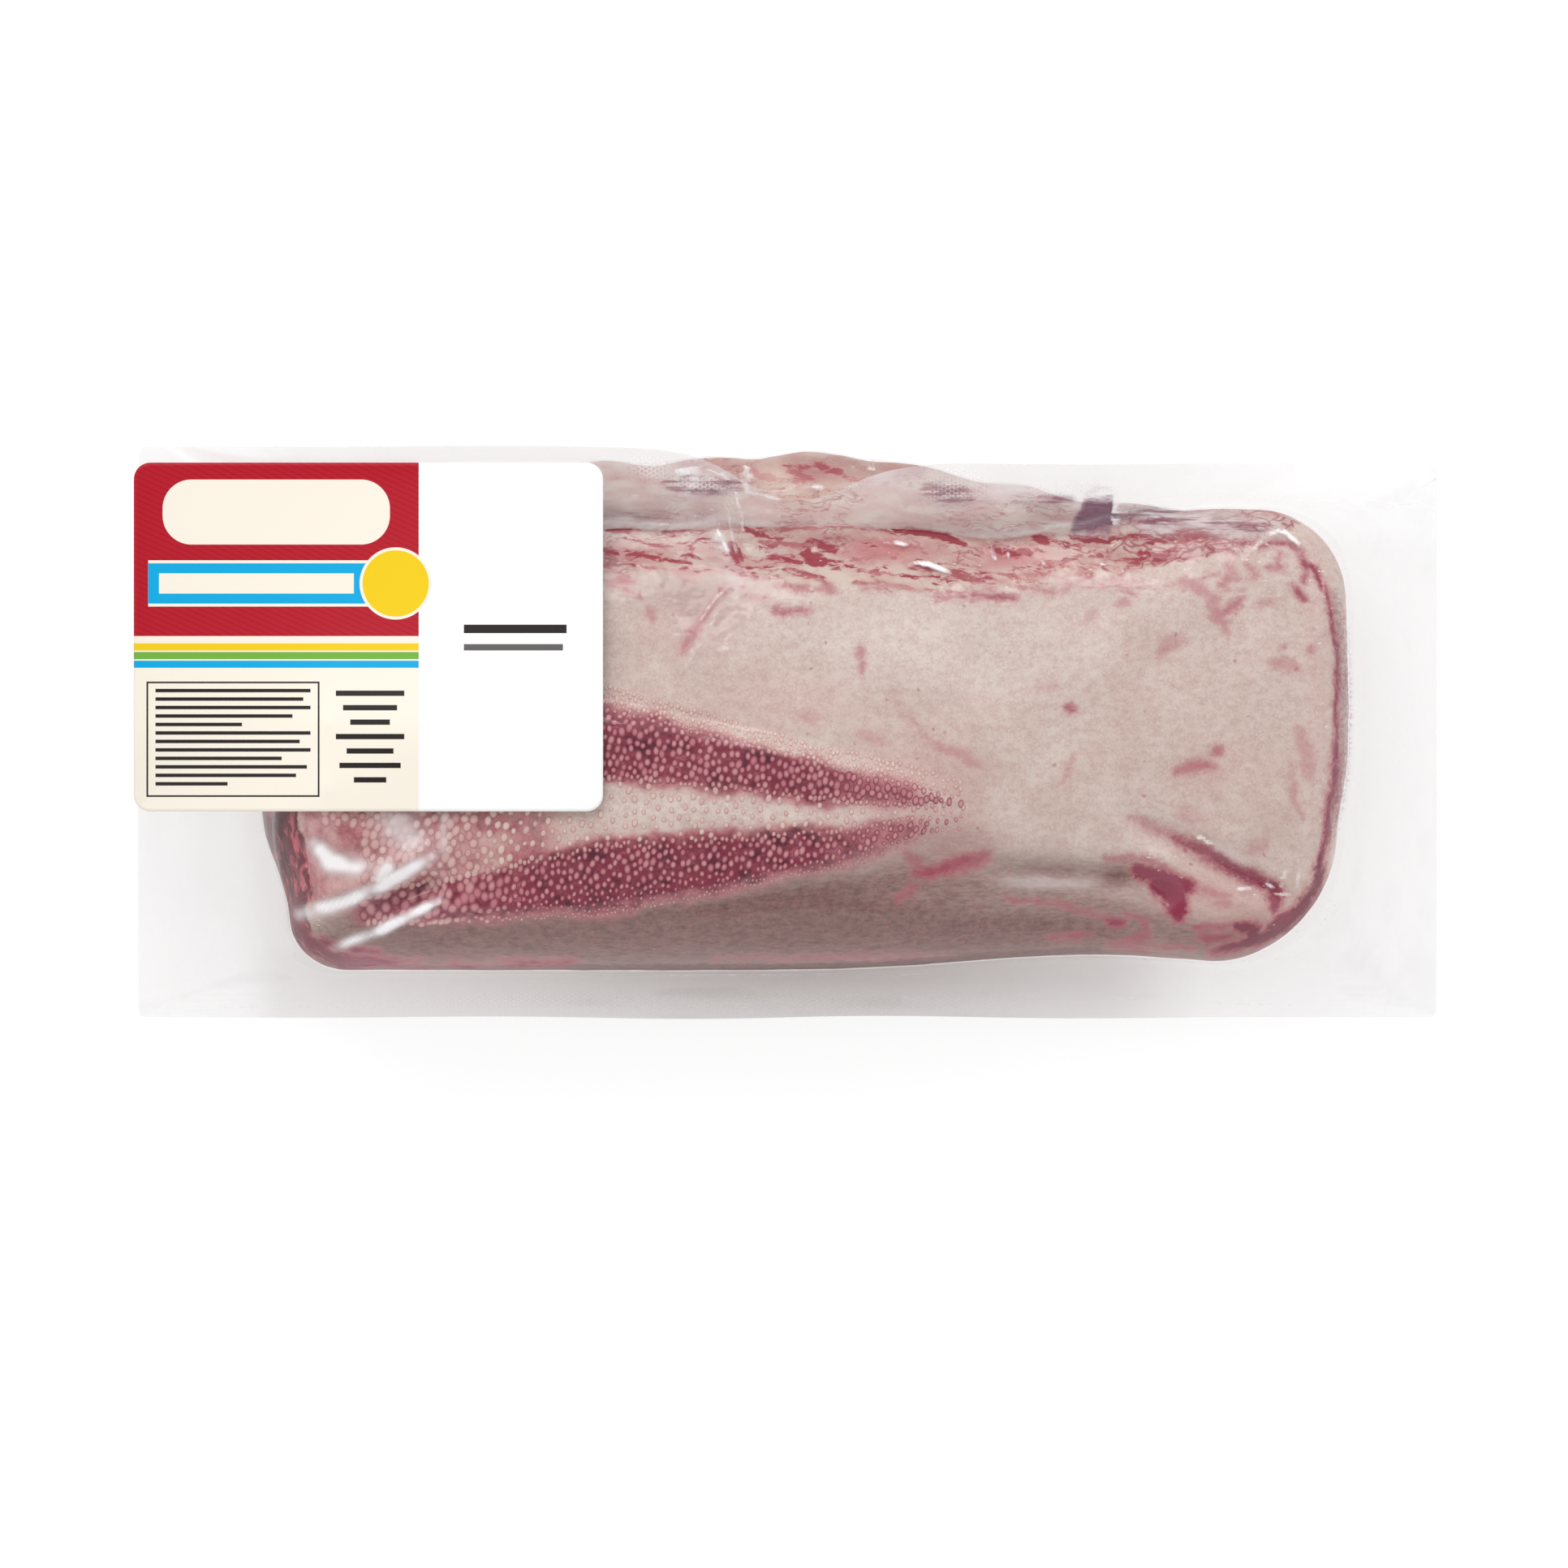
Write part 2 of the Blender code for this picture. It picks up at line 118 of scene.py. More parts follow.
room = bpy.data.worlds.new("pale_room")
room.use_nodes = True
toward = add_node(room.node_tree, "ShaderNodeTexCoord").outputs["Generated"]
height = add_node(room.node_tree, "ShaderNodeSeparateXYZ", {0: toward}).outputs["Z"]
ceiling = {"From Min": OVERHEAD_FROM, "From Max": OVERHEAD_TO, "To Min": ROOM_LIGHT, "To Max": OVERHEAD_LIGHT}
overhead = add_node(
    room.node_tree, "ShaderNodeMapRange", {"Value": height, **ceiling}, interpolation_type="SMOOTHSTEP"
).outputs["Result"]
fill(room.node_tree, room.node_tree.nodes["Background"], {"Color": WHITE_LIGHT, "Strength": overhead})
scene.world = room

lens = bpy.data.cameras.new("camera")
lens.type = "ORTHO"
lens.ortho_scale = PICTURE_WIDTH
camera = bpy.data.objects.new("camera", lens)
camera.location = (*PICTURE_MIDDLE, CAMERA_HEIGHT)
scene.collection.objects.link(camera)
scene.camera = camera


# The tongue: one whole muscle, root to the left and tip to the right, pressed flat by the film.
# Its rough skin is pale, with two bands of dark red where the blunt papillae stand, and its
# back flank is cut to raw flesh, fat and blood. Fields kept at the mesh's points paint it,
# with painted shade on its front flank and in its creases.

TONGUE_LEFT, TONGUE_RIGHT = -145.5 * MM, 154.5 * MM
TONGUE_FRONT, TONGUE_BACK = -66.2 * MM, 62.0 * MM
OUTLINE_CORNERS = (16.5 * MM, 38 * MM, 24 * MM, 24 * MM)
RIGHT_SLANT, RIGHT_SLANT_Y, RIGHT_SLANT_RUN = 2.2 * MM, -5 * MM, 25 * MM
RIGHT_END_X, RIGHT_END_RUN = 110 * MM, 30 * MM
LEFT_SLANT, LEFT_SLANT_Y, LEFT_SLANT_RUN = 7.5 * MM, -21 * MM, 31 * MM
LEFT_HALF_X, LEFT_HALF_RUN = -60 * MM, 60 * MM
WIDEST_HEIGHT = 15.0 * MM
TIP_BOW, TIP_BOW_Y, TIP_BOW_REACH = 2.0 * MM, 8 * MM, 45 * MM
WAIST, WAIST_X, WAIST_REACH = 4.3 * MM, 84 * MM, 46 * MM
TOP_SLOPES = (21 * MM, 8 * MM, 18 * MM, 24 * MM)
TOP_CORNERS = (16 * MM, 34 * MM, 14 * MM, 16 * MM)
FOOT_INSET = 12 * MM
FOOT_CORNERS = (10 * MM, 36 * MM, 14 * MM, 14 * MM)
SWELL, SWELL_X = 15.2 * MM, 12 * MM
SWELL_REACH_LEFT, SWELL_REACH_RIGHT = 150 * MM, 56 * MM
SWELL_LIFT = 4 * MM
FLANK_LUMP, FLANK_LUMP_WAVES = 0.7 * MM, (210.0, 97.0)
ROOT_HEIGHT = 55 * MM
ROOT_END_DROP, FRONT_OF_HUMP_DROP, TIP_DROP = 5 * MM, 10 * MM, 9 * MM
CREST_Y = -22 * MM
BACK_FALL, FRONT_FALL, FALL_REACH = 10.5 * MM, 5 * MM, 60 * MM
HUMP_RISE, HUMP_TIP_X, HUMP_HALF_WIDTH = 3 * MM, 50 * MM, 29 * MM
HUMP_TAPER, HUMP_FULL_WIDTH_X, HUMP_SHOULDER = 0.6, -55 * MM, 7 * MM
UNEVEN, UNEVEN_WAVES = 0.6 * MM, (52 * MM, 37 * MM)
SLIMMER_TIP = 0.55
# Where a change along an axis starts and how far it runs, in millimetres
HUMP_FALL, TIP_FALL, SLIMMER_SPAN = (-10, 85), (65, 90), (30, 110)
OUTLINE_SIDE, OUTLINE_TIP = (30, 25), (120, 20)

# Folds: x and y of each point along it, half its width and its depth, in millimetres
FOLDS = (
    ((94, -22, 109, -30.5, 125, -38.5, 140, -46.5), 3.8, 3.6),
    ((50, -36.5, 75, -37.5, 98, -40, 110, -49), 4.2, 3.8),
    ((64, -50, 84, -52.8, 102, -56), 3.6, 2.2),
    ((-136, -48, -120, -43, -108, -37.5, -96, -32.5), 4.4, -2.4),
    ((-131, -54, -116, -49.5, -104, -45, -94, -41), 4, 4),
    ((-125, -60, -112, -56, -103, -52.5, -94, -49), 4.4, -2),
    ((-50, 52, 10, 50, 70, 50, 118, 49), 5.5, 2),
)


def eased(share):
    """0 below 0, 1 above 1, and a smooth step between."""
    t = np.clip(share, 0.0, 1.0)
    return t * t * (3.0 - 2.0 * t)


def past(place, start_mm, run_mm):
    """0 up to start_mm along an axis, 1 from run_mm further on, and a smooth step between."""
    return eased((place / MM - start_mm) / run_mm)


def bell(offset, reach):
    return np.exp(-((offset / reach) ** 2))


def off_path(x, y, path_mm):
    """The distance in plan to a line, and the share of it run there. path_mm is x, y, x, y along the line."""
    path = [(px * MM, py * MM) for px, py in zip(path_mm[::2], path_mm[1::2])]
    nearest = np.full(np.shape(x), math.inf)
    run = np.zeros(np.shape(x))
    lengths = [math.dist(a, b) for a, b in zip(path, path[1:])]
    before = 0.0
    for (ax, ay), (bx, by), length in zip(path, path[1:], lengths):
        along = np.clip(((x - ax) * (bx - ax) + (y - ay) * (by - ay)) / length**2, 0.0, 1.0)
        away = np.hypot(x - ax - along * (bx - ax), y - ay - along * (by - ay))
        closer = away < nearest
        nearest = np.where(closer, away, nearest)
        run = np.where(closer, (before + along * length) / sum(lengths), run)
        before += length
    return nearest, run


def folds_depth(x, y):
    depth = np.zeros(np.shape(x))
    for path, half_width, deep in FOLDS:
        away, run = off_path(x, y, path)
        fades = eased(run / 0.2) * eased((1.0 - run) / 0.12)
        depth += deep * MM * bell(away, half_width * MM) * (0.25 + 0.75 * fades)
    return depth


def hump_share(x, y):
    """1 on the hump and 0 off it. In plan it is a long leaf that points at the tip."""
    narrowing = np.clip((HUMP_TIP_X - x) / (HUMP_TIP_X - HUMP_FULL_WIDTH_X), 0.0, 1.0)
    half_width = HUMP_HALF_WIDTH * narrowing**HUMP_TAPER
    return eased((half_width - np.abs(y - CREST_Y)) / HUMP_SHOULDER + 0.5) * eased(narrowing / 0.15)


def tongue_height(x, y):
    """The height of the tongue's upper side above the table."""
    crest = ROOT_HEIGHT - ROOT_END_DROP * (1.0 - past(x - TONGUE_LEFT, 0, 60))
    crest = crest - FRONT_OF_HUMP_DROP * past(x, *HUMP_FALL) - TIP_DROP * past(x, *TIP_FALL)
    off_crest = (y - CREST_Y) / FALL_REACH
    slimmer = 1.0 - SLIMMER_TIP * past(x, *SLIMMER_SPAN)
    fall = np.where(off_crest > 0.0, BACK_FALL, FRONT_FALL) * off_crest**2 * slimmer
    long_wave, wide_wave = UNEVEN_WAVES
    uneven = UNEVEN * np.sin(math.tau * x / long_wave + 1.0) * np.cos(math.tau * y / wide_wave)
    return crest - fall + HUMP_RISE * hump_share(x, y) + uneven - folds_depth(x, y)


def evenly(points, count):
    """count points spaced evenly along a line, its last point left out."""
    points = np.array(points)
    run = np.concatenate([[0.0], np.cumsum(np.hypot(*np.diff(points, axis=0).T))])
    at = np.linspace(0.0, run[-1], count + 1)[:-1]
    return np.stack([np.interp(at, run, points[:, axis]) for axis in range(2)], axis=1)


def rounded_ring(left, right, front, back, radii, cells):
    """A rectangle with round corners: its front, right, back and left side in turn, from corner to corner."""
    signs = ((-1, -1), (1, -1), (1, 1), (-1, 1))
    corners = ((left, front), (right, front), (right, back), (left, back))
    arcs = []
    for (sx, sy), (cx, cy), radius in zip(signs, corners, radii):
        turn = math.atan2(sy, sx) + np.linspace(-math.pi / 4, math.pi / 4, 65)
        arc = np.stack([np.cos(turn) - sx, np.sin(turn) - sy], axis=1) * radius
        arcs.append(arc + [cx, cy])
    ring = []
    for side in range(4):
        path = np.concatenate([arcs[side][32:], arcs[(side + 1) % 4][:33]])
        ring.append(evenly(path, cells[side % 2]))
    return np.concatenate(ring)


def swell_at(x):
    return bell(x - SWELL_X, np.where(x > SWELL_X, SWELL_REACH_RIGHT, SWELL_REACH_LEFT))


def slanted(ring):
    """The ring with the front of its left side moved in, and a little that of its right side."""
    x, y = ring.T
    at_left = eased((LEFT_SLANT_Y - y) / LEFT_SLANT_RUN) * eased((LEFT_HALF_X - x) / LEFT_HALF_RUN)
    at_right = eased((RIGHT_SLANT_Y - y) / RIGHT_SLANT_RUN) * eased((x - RIGHT_END_X) / RIGHT_END_RUN)
    return np.stack([x + LEFT_SLANT * at_left - RIGHT_SLANT * at_right, y], axis=1)


def widest_ring(cells):
    """The tongue's outline: the back flank swells, the front is drawn in a little and the tip bows out."""
    ring = rounded_ring(TONGUE_LEFT, TONGUE_RIGHT, TONGUE_FRONT, TONGUE_BACK, OUTLINE_CORNERS, cells)
    x, y = ring.T
    at_back = past(y, *OUTLINE_SIDE)
    at_front = past(-y, *OUTLINE_SIDE)
    bow = TIP_BOW * bell(y - TIP_BOW_Y, TIP_BOW_REACH) * past(x, *OUTLINE_TIP)
    short, long = FLANK_LUMP_WAVES
    lumps = FLANK_LUMP * (np.sin(x * short) + 0.6 * np.sin(x * long + 1.0)) * past(-np.abs(x), -130, 30)
    waist = WAIST * bell(x - WAIST_X, WAIST_REACH)
    y = y + at_back * (SWELL * swell_at(x) + lumps) + at_front * waist
    return slanted(np.stack([x + bow, y], axis=1))


def inner_ring(insets, radii, cells):
    """A ring inside the tongue's straight outline, for the edge of its top and of its foot."""
    left, right, front, back = insets
    ring = rounded_ring(
        TONGUE_LEFT + left, TONGUE_RIGHT - right, TONGUE_FRONT + front, TONGUE_BACK - back, radii, cells
    )
    return slanted(ring)


def wall_points(angles, cells):
    """Points on the tongue's side: 0 is the edge of its top, 90 degrees its widest line, 180 its foot."""
    top, widest = inner_ring(TOP_SLOPES, TOP_CORNERS, cells), widest_ring(cells)
    foot = inner_ring((FOOT_INSET,) * 4, FOOT_CORNERS, cells)
    level = WIDEST_HEIGHT + SWELL_LIFT * swell_at(widest[:, 0]) * eased(widest[:, 1] / (50 * MM))
    over = np.minimum(angles, math.pi / 2)
    under = np.maximum(angles - math.pi / 2, 0.0)
    plan = top + (widest - top) * np.sin(over)[:, None]
    plan = plan + (foot - plan) * (1.0 - np.cos(under))[:, None] * (angles > math.pi / 2)[:, None]
    upper = level + (tongue_height(*plan.T) - level) * np.cos(over) ** 0.85
    height = np.where(angles > math.pi / 2, level * (1.0 - np.sin(under)), upper)
    return np.column_stack([plan, height])


def top_patch(cells):
    """The grid of points over the flat top, without its edge."""
    long, wide = cells
    ring = inner_ring(TOP_SLOPES, TOP_CORNERS, cells)
    front, right = ring[: long + 1], ring[long : long + wide + 1]
    back = ring[long + wide : 2 * long + wide + 1][::-1]
    left = np.concatenate([ring[2 * long + wide :], ring[:1]])[::-1]
    u = (np.arange(1, long) / long)[None, :, None]
    v = (np.arange(1, wide) / wide)[:, None, None]
    across = (1 - v) * front[None, 1:long] + v * back[None, 1:long]
    along = (1 - u) * left[1:wide, None] + u * right[1:wide, None]
    corners = (1 - v) * ((1 - u) * front[0] + u * front[-1]) + v * ((1 - u) * back[0] + u * back[-1])
    plan = (across + along - corners).reshape(-1, 2)
    return np.column_stack([plan, tongue_height(*plan.T)])


def shell_faces(rings, cells):
    """The faces of a shell: the top's grid, bands between rings from its edge down, and a flat foot."""
    long, wide = cells
    count = 2 * (long + wide)
    index = np.empty((wide + 1, long + 1), int)
    index[0] = np.arange(long + 1)
    index[:, long] = long + np.arange(wide + 1)
    index[wide] = 2 * long + wide - np.arange(long + 1)
    index[1:, 0] = count - np.arange(1, wide + 1)
    index[1:wide, 1:long] = rings * count + np.arange((wide - 1) * (long - 1)).reshape(wide - 1, long - 1)
    patch = np.stack([index[:-1, :-1], index[:-1, 1:], index[1:, 1:], index[1:, :-1]], axis=-1).reshape(-1, 4)
    a = np.arange(count)
    b = (a + 1) % count
    band = np.stack([a, a + count, b + count, b], axis=1)
    bands = (band[None] + (np.arange(rings - 1) * count)[:, None, None]).reshape(-1, 4)
    return patch.tolist() + bands.tolist() + [[(rings - 1) * count + i for i in reversed(range(count))]]


def cloud(points, size_mm, seed):
    """Smooth random values from -1 to 1. size_mm is the width of their lumps along each axis."""
    table_side = 32
    values = np.random.default_rng(seed).uniform(-1.0, 1.0, (table_side,) * 3)
    at = np.asarray(points, float) / (np.asarray(size_mm, float) * MM) + 500.0
    cell = np.floor(at).astype(int)
    part = at - cell
    part = part * part * (3.0 - 2.0 * part)
    total = np.zeros(len(at))
    for corner in np.ndindex(2, 2, 2):
        weight = np.prod(np.where(corner, part, 1.0 - part), axis=1)
        total += weight * values[tuple(((cell + corner) % table_side).T)]
    return total


def for_rings(values, cells, count):
    """A shell's rings each given a value for all of their points, and the points of its top 0."""
    whole = np.zeros(count)
    whole[: len(values) * 2 * sum(cells)] = np.repeat(values, 2 * sum(cells))
    return whole


def outward(points, faces):
    """The outward direction at each point of a shell."""
    mesh = bpy.data.meshes.new("outward")
    mesh.from_pydata(points.tolist(), [], faces)
    mesh.update()
    found = np.empty(len(points) * 3, np.float32)
    mesh.vertex_normals.foreach_get("vector", found)
    bpy.data.meshes.remove(mesh)
    return found.reshape(-1, 3).astype(float)


def keep_fields(piece, **fields):
    """Stores numbers at the points of a piece, for its material to read by their names."""
    for name, values in fields.items():
        kept = piece.data.attributes.new(name, "FLOAT", "POINT")
        kept.data.foreach_set("value", np.asarray(values, np.float32))


def stroke_field(x, y, strokes):
    """How deep each place lies inside the strokes, in millimetres, and how strong they are there."""
    well_outside = -6.0
    inside = np.full(len(x), well_outside)
    weights = np.full(len(x), 1e-9)
    strong = np.zeros(len(x))
    for path, half_width, strength in strokes:
        away, run = off_path(x, y, path)
        tapered = half_width * (0.4 + 0.6 * np.sqrt(np.clip(np.sin(math.pi * run), 0.0, 1.0)))
        depth = np.maximum(tapered - away / MM, well_outside)
        inside = np.maximum(inside, depth)
        weight = np.exp(2.0 * depth)
        weights += weight
        strong += weight * strength
    return inside, strong / weights


def blots(x, y, rows):
    """Soft ovals added up, to 1 at most. A row has the x and y of a middle, two reaches and a strength."""
    total = np.zeros(len(x))
    for middle_x, middle_y, reach_x, reach_y, strength in rows:
        total += strength * bell(x / MM - middle_x, reach_x) * bell(y / MM - middle_y, reach_y)
    return np.clip(total, 0.0, 1.0)


MEAT_CELLS = (330, 112)
MEAT_UNDER_FILM, MEAT_PROUD, MEAT_OFF_TABLE = 1.0 * MM, 0.3 * MM, 0.3 * MM
# Rings down the side: even in plan over the shoulder, then even in turn down to the foot
SHOULDER_RINGS, STEEP_RINGS, UNDER_RINGS = 49, 8, 12
STEEP_FROM = math.asin(0.97)

meat_angles = np.concatenate(
    [
        np.arcsin(np.linspace(0.0, math.sin(STEEP_FROM), SHOULDER_RINGS)),
        np.linspace(STEEP_FROM, math.pi / 2, STEEP_RINGS + 1)[1:],
        np.linspace(math.pi / 2, math.pi, UNDER_RINGS + 1)[1:],
    ]
)
meat_base = np.concatenate(
    [wall_points(np.full(2 * sum(MEAT_CELLS), a), MEAT_CELLS) for a in meat_angles] + [top_patch(MEAT_CELLS)]
)
meat_faces = shell_faces(len(meat_angles), MEAT_CELLS)
meat_out = outward(meat_base, meat_faces)
meat_x, meat_y, _ = meat_base.T
wall_turn = for_rings(meat_angles, MEAT_CELLS, len(meat_base))
seen_above = 1.0 - eased((wall_turn - 1.72 + 0.2 * cloud(meat_base, (9, 9, 6), 5)) / 0.3)

# The bands of dark red: places along each, its middle there and half its width, in millimetres
UPPER_BAND = (
    (-150, -50.5, -18.8, 9.6, 35, 44),
    (2, -2.1, -7.9, -13.6, -17.3, -19),
    (13, 10.5, 7.4, 5.0, 3.6, 1.5),
)
LOWER_BAND = (
    (-150, -96, -50.5, -24, 3, 16, 35, 44),
    (-49, -47.2, -40.2, -37.2, -33.2, -31.9, -27, -25),
    (3.0, 5.2, 9.6, 7.8, 5.6, 5.0, 3.7, 1.5),
)


def band_depth(x, y, band):
    """How deep a place lies inside a band, in millimetres. It is below zero outside."""
    places, middles, widths = band
    return np.interp(x / MM, places, widths) - np.abs(y / MM - np.interp(x / MM, places, middles))


ragged = cloud(meat_base, (9, 5, 9), 3) + 0.5 * cloud(meat_base, (3, 3, 3), 4)
band_ends = past(-meat_x, -44, 10) * past(meat_x, -128, 18)
wine = np.maximum(band_depth(meat_x, meat_y, UPPER_BAND), band_depth(meat_x, meat_y, LOWER_BAND))
wine = eased((wine + 1.6 * ragged) / 8.0 + 0.62) * band_ends * seen_above
root_blush = past(-meat_x, 54, 16) * past(meat_x, -140, 8)
wine = wine * (1.0 - 0.42 * past(meat_x, 2, 26))
wine = np.maximum(wine, 0.56 * root_blush * past(meat_y, -54, 8) * (0.8 + 0.4 * ragged))
# Painted shade: in front of this edge the front flank is painted darker and greyer, partly as its own greyer
# bare skin
FLANK_EDGE = (
    (-150, -96, -50, -24, 0, 16, 35, 60, 85, 100, 120, 150),
    (-50, -48, -44, -39, -34, -32, -30, -31, -34, -40, -50, -60),
)
flank_grey = eased((np.interp(meat_x / MM, *FLANK_EDGE) - meat_y / MM) / 12.0)
flank_grey = flank_grey * past(meat_x, -140, 8) * (1.0 - 0.4 * past(meat_x, 0, 70))

# The raw band of the cut flank, the raw end of the root, and the underside
RAW_EDGE = ((-150, -60, -20, 40, 75, 100, 150), (42, 41, 41, 38, 40, 43, 56))
raw = eased((meat_y / MM - np.interp(meat_x / MM, *RAW_EDGE) + 3 * ragged) / 6.0)
root_end = eased((-131 - meat_x / MM - 0.12 * (meat_y / MM + 40) + 2 * ragged) / 5.0)
raw = np.maximum(np.maximum(raw, root_end), 0.7 * (1.0 - seen_above))

# Marks of blood: x and y of each point along one and half its width, in millimetres, and how dark it is
SEAM_BLOOD = (
    ((-50.5, 56.7, -41.7, 56.2), 1, 1),
    ((-11, 56.2, -6, 55.2, -0.7, 54.2), 0.9, 0.9),
    ((-7, 53.5, 0, 52.8, 7.7, 51.8), 0.8, 0.5),
    ((5.5, 53.4, 10, 52.6, 15.3, 51.5), 1, 0.8),
    ((29.5, 57.2, 38, 56.2, 45, 54.6, 50.6, 53.2), 1.2, 1),
    ((56.8, 51.6, 62, 50.8, 67.8, 50.2), 1, 0.9),
    ((69.5, 54, 73.5, 53), 1.3, 0.8),
    ((73, 53.6, 79.6, 53.4), 0.5, 0.8),
    ((79.6, 55.3, 85, 54.6, 90.5, 54), 1.1, 1),
    ((90.5, 55, 103.2, 54.5, 109.7, 56.9, 121.6, 57.4), 0.8, 1),
    ((67.5, 58.5, 72, 55.5), 1.2, 0.35),
    ((-41.7, 56.2, -24.2, 56.7, -15.2, 56.9), 0.3, 0.5),
    ((-11.1, 57.2, 7.3, 56.9, 29.4, 57.1), 0.4, 0.5),
)
FLESH_VEINS = (
    ((-51.2, 52, -45.8, 51.1), 0.8, 1),
    ((-45, 54.5, -40, 53.7, -30.6, 52), 0.5, 0.65),
    ((-45, 51.5, -40, 50.3, -35, 49.4, -29.7, 47.8), 0.8, 0.9),
    ((-29, 53, -26, 52.2, -25.6, 50.2, -28, 49.8), 0.5, 0.6),
    ((-51.2, 42.1, -41.5, 42.5), 0.9, 0.45),
    ((-15.6, 52.3, -14, 50.5, -12.4, 47.2), 1.7, 0.9),
    ((-5.4, 49.5, 0, 48.8, 5, 47.7), 0.9, 0.8),
    ((5, 50.2, 9, 48.8, 12.5, 48.6), 1.9, 0.9),
    ((-8.6, 45, -7.4, 44), 0.9, 0.7),
    ((-1, 45.6, 5, 44.8, 11, 43.2), 0.8, 0.7),
    ((10.8, 42.5, 13.5, 40), 1.6, 0.55),
    ((-2.6, 41, 6.7, 39.8), 0.7, 0.65),
    ((-4.5, 34.4, 1, 34, 7.7, 34.8), 0.9, 0.7),
    ((20, 45.6, 31, 44.6), 0.4, 0.5),
    ((23.5, 42, 37.6, 40.3), 0.45, 0.5),
    ((46, 45.5, 50, 44.2, 53.5, 42.2), 1.3, 0.6),
    ((41, 38.2, 50, 38.2), 0.5, 0.7),
    ((51.6, 39, 57, 37.6, 63.7, 37.4), 0.9, 0.85),
    ((63.7, 40.5, 75, 39.3), 0.5, 0.55),
    ((34, 40.7, 46.7, 39.6, 58.2, 40), 0.4, 0.5),
    ((64.5, 41.6, 70.5, 46.1, 77.7, 47.9, 88.3, 52.9), 0.5, 0.6),
    ((76.8, 39.8, 85.8, 44.3), 0.5, 0.5),
    ((60, 44.5, 66, 43.5, 73, 44.8), 0.6, 0.4),
    ((-20, 36.8, -25, 28.5, -29, 22), 1.1, 0.5),
    ((-37.7, 34.9, -36.3, 31.7), 1.1, 0.4),
    ((88.8, 53.8, 89.7, 49.3, 97.3, 48.4, 99.6, 52.9), 0.4, 0.9),
    ((97.3, 48.4, 101.8, 50.2, 106.3, 51.1, 109, 52.9), 0.6, 0.9),
    ((82.9, 52, 88.8, 49.3), 0.4, 0.6),
    ((109.2, 54.2, 115.3, 55.1, 120.7, 53.8), 1.6, 0.85),
    ((101.8, 47.9, 105.4, 49.7), 0.7, 0.8),
    ((91.7, 43, 95.1, 47, 98.2, 47.5), 0.5, 0.6),
    ((109.7, 55.8, 104.1, 53.8), 0.7, 0.8),
    ((122.7, 53.8, 126.6, 53.3, 130.6, 55.1), 0.5, 0.8),
    ((81.6, 40.3, 97.3, 41.2, 105.6, 41.9, 113.7, 41.9), 0.3, 0.5),
    ((81.6, 45.7, 86.1, 47.9, 91, 46.1), 0.3, 0.4),
    ((122.1, 52, 124.3, 49.7), 0.7, 0.6),
    ((86.1, 42.1, 98.4, 43), 0.5, 0.4),
    ((-9, 73.2, -3, 70.8), 1.3, 0.3),
    ((0, 73.6, 3.5, 72.6, 8, 70.8), 1.2, 0.5),
    ((9, 74.8, 13, 73.8, 16.5, 72.6), 1.1, 0.6),
    ((1.5, 70.2, 6, 69.6), 0.7, 0.35),
    ((-1, 74.4, 4.5, 74.2, 9, 75.4), 0.5, 0.6),
    ((15.5, 72.4, 20, 71.2, 25, 70.8), 0.6, 0.4),
)
BLOOD_MARKS = (
    ((78.9, 6.5, 80.7, 6.3), 1.1, 0.8),
    ((118.7, -5.6, 121.2, -4.3), 1.4, 0.6),
    ((108.6, -11, 115.3, -8.8, 118.9, -9.7), 1.6, 0.55),
    ((20.8, 25, 20.8, 17.3), 1, 0.55),
    ((29.8, 11.9, 31.6, 7, 36.6, 2.5, 41.1, -2.7), 0.4, 0.3),
    ((41.1, -2.7, 46.7, -5, 53.4, -9.5), 1.2, 0.3),
    ((36.1, -39.4, 43.3, -38, 54.1, -34.4), 1.8, 0.7),
    ((34.3, -33.1, 38.8, -38.7), 1.4, 0.45),
    ((30.9, -46.6, 36.6, -43.2), 1.4, 0.4),
    ((122.3, 47.2, 123.6, 44.3, 121.2, 40.3), 1.1, 0.55),
    ((127.7, 47.2, 131.3, 43.4), 0.7, 0.55),
    ((134.2, 45.9, 138.7, 45.9), 0.8, 0.65),
    ((137.8, 50.4, 136.7, 45.9), 0.8, 0.55),
    ((109.7, 42.3, 113.7, 41.6, 117.8, 38.2, 118.7, 33.3, 121.6, 30.4, 122.7, 27.2), 1.8, 0.42),
    ((118.7, 31.7, 124.3, 35.3, 127.2, 37.1), 1.4, 0.6),
    ((92.1, 35.3, 94.6, 36.9), 0.9, 0.45),
    ((130.8, 36, 134.9, 36), 0.6, 0.45),
    ((137.8, 23.9, 138.7, 23.9), 1.4, 0.45),
    ((144.8, 23.2, 145.7, 23.2), 1.1, 0.5),
    ((104.1, 21.8, 106.8, 25.2, 111.3, 26.3), 2, 0.3),
    ((82.5, 31.3, 85.6, 33.3), 1.1, 0.22),
    ((135.3, 19.8, 142.3, 18.2), 1.6, 0.35),
    ((131.7, 51.3, 134.9, 52.9, 138.7, 52.4, 143.4, 50.4, 144.8, 45.2, 143.9, 42.3), 0.7, 0.85),
    ((146.4, 47.2, 148.8, 40.7), 1.2, 0.95),
    ((143.4, 50.2, 144.8, 45.7), 1.1, 0.9),
    ((141.4, 40.7, 143.2, 38.2, 145, 37.1), 1.1, 0.8),
    ((20.8, -0.5, 27.6, -2.7), 1.8, 0.25),
    ((2.8, 5.2, 9.6, 4.3), 1.8, 0.22),
    ((70.3, 13.1, 77.1, 11.9), 1.6, 0.15),
    ((108.6, -21.8, 115.3, -24.1), 2.2, 0.18),
    ((142.3, 0.7, 145.7, -12.8), 2.2, 0.25),
    ((128.8, -33.1, 133.3, -30.8), 1.8, 0.2),
)
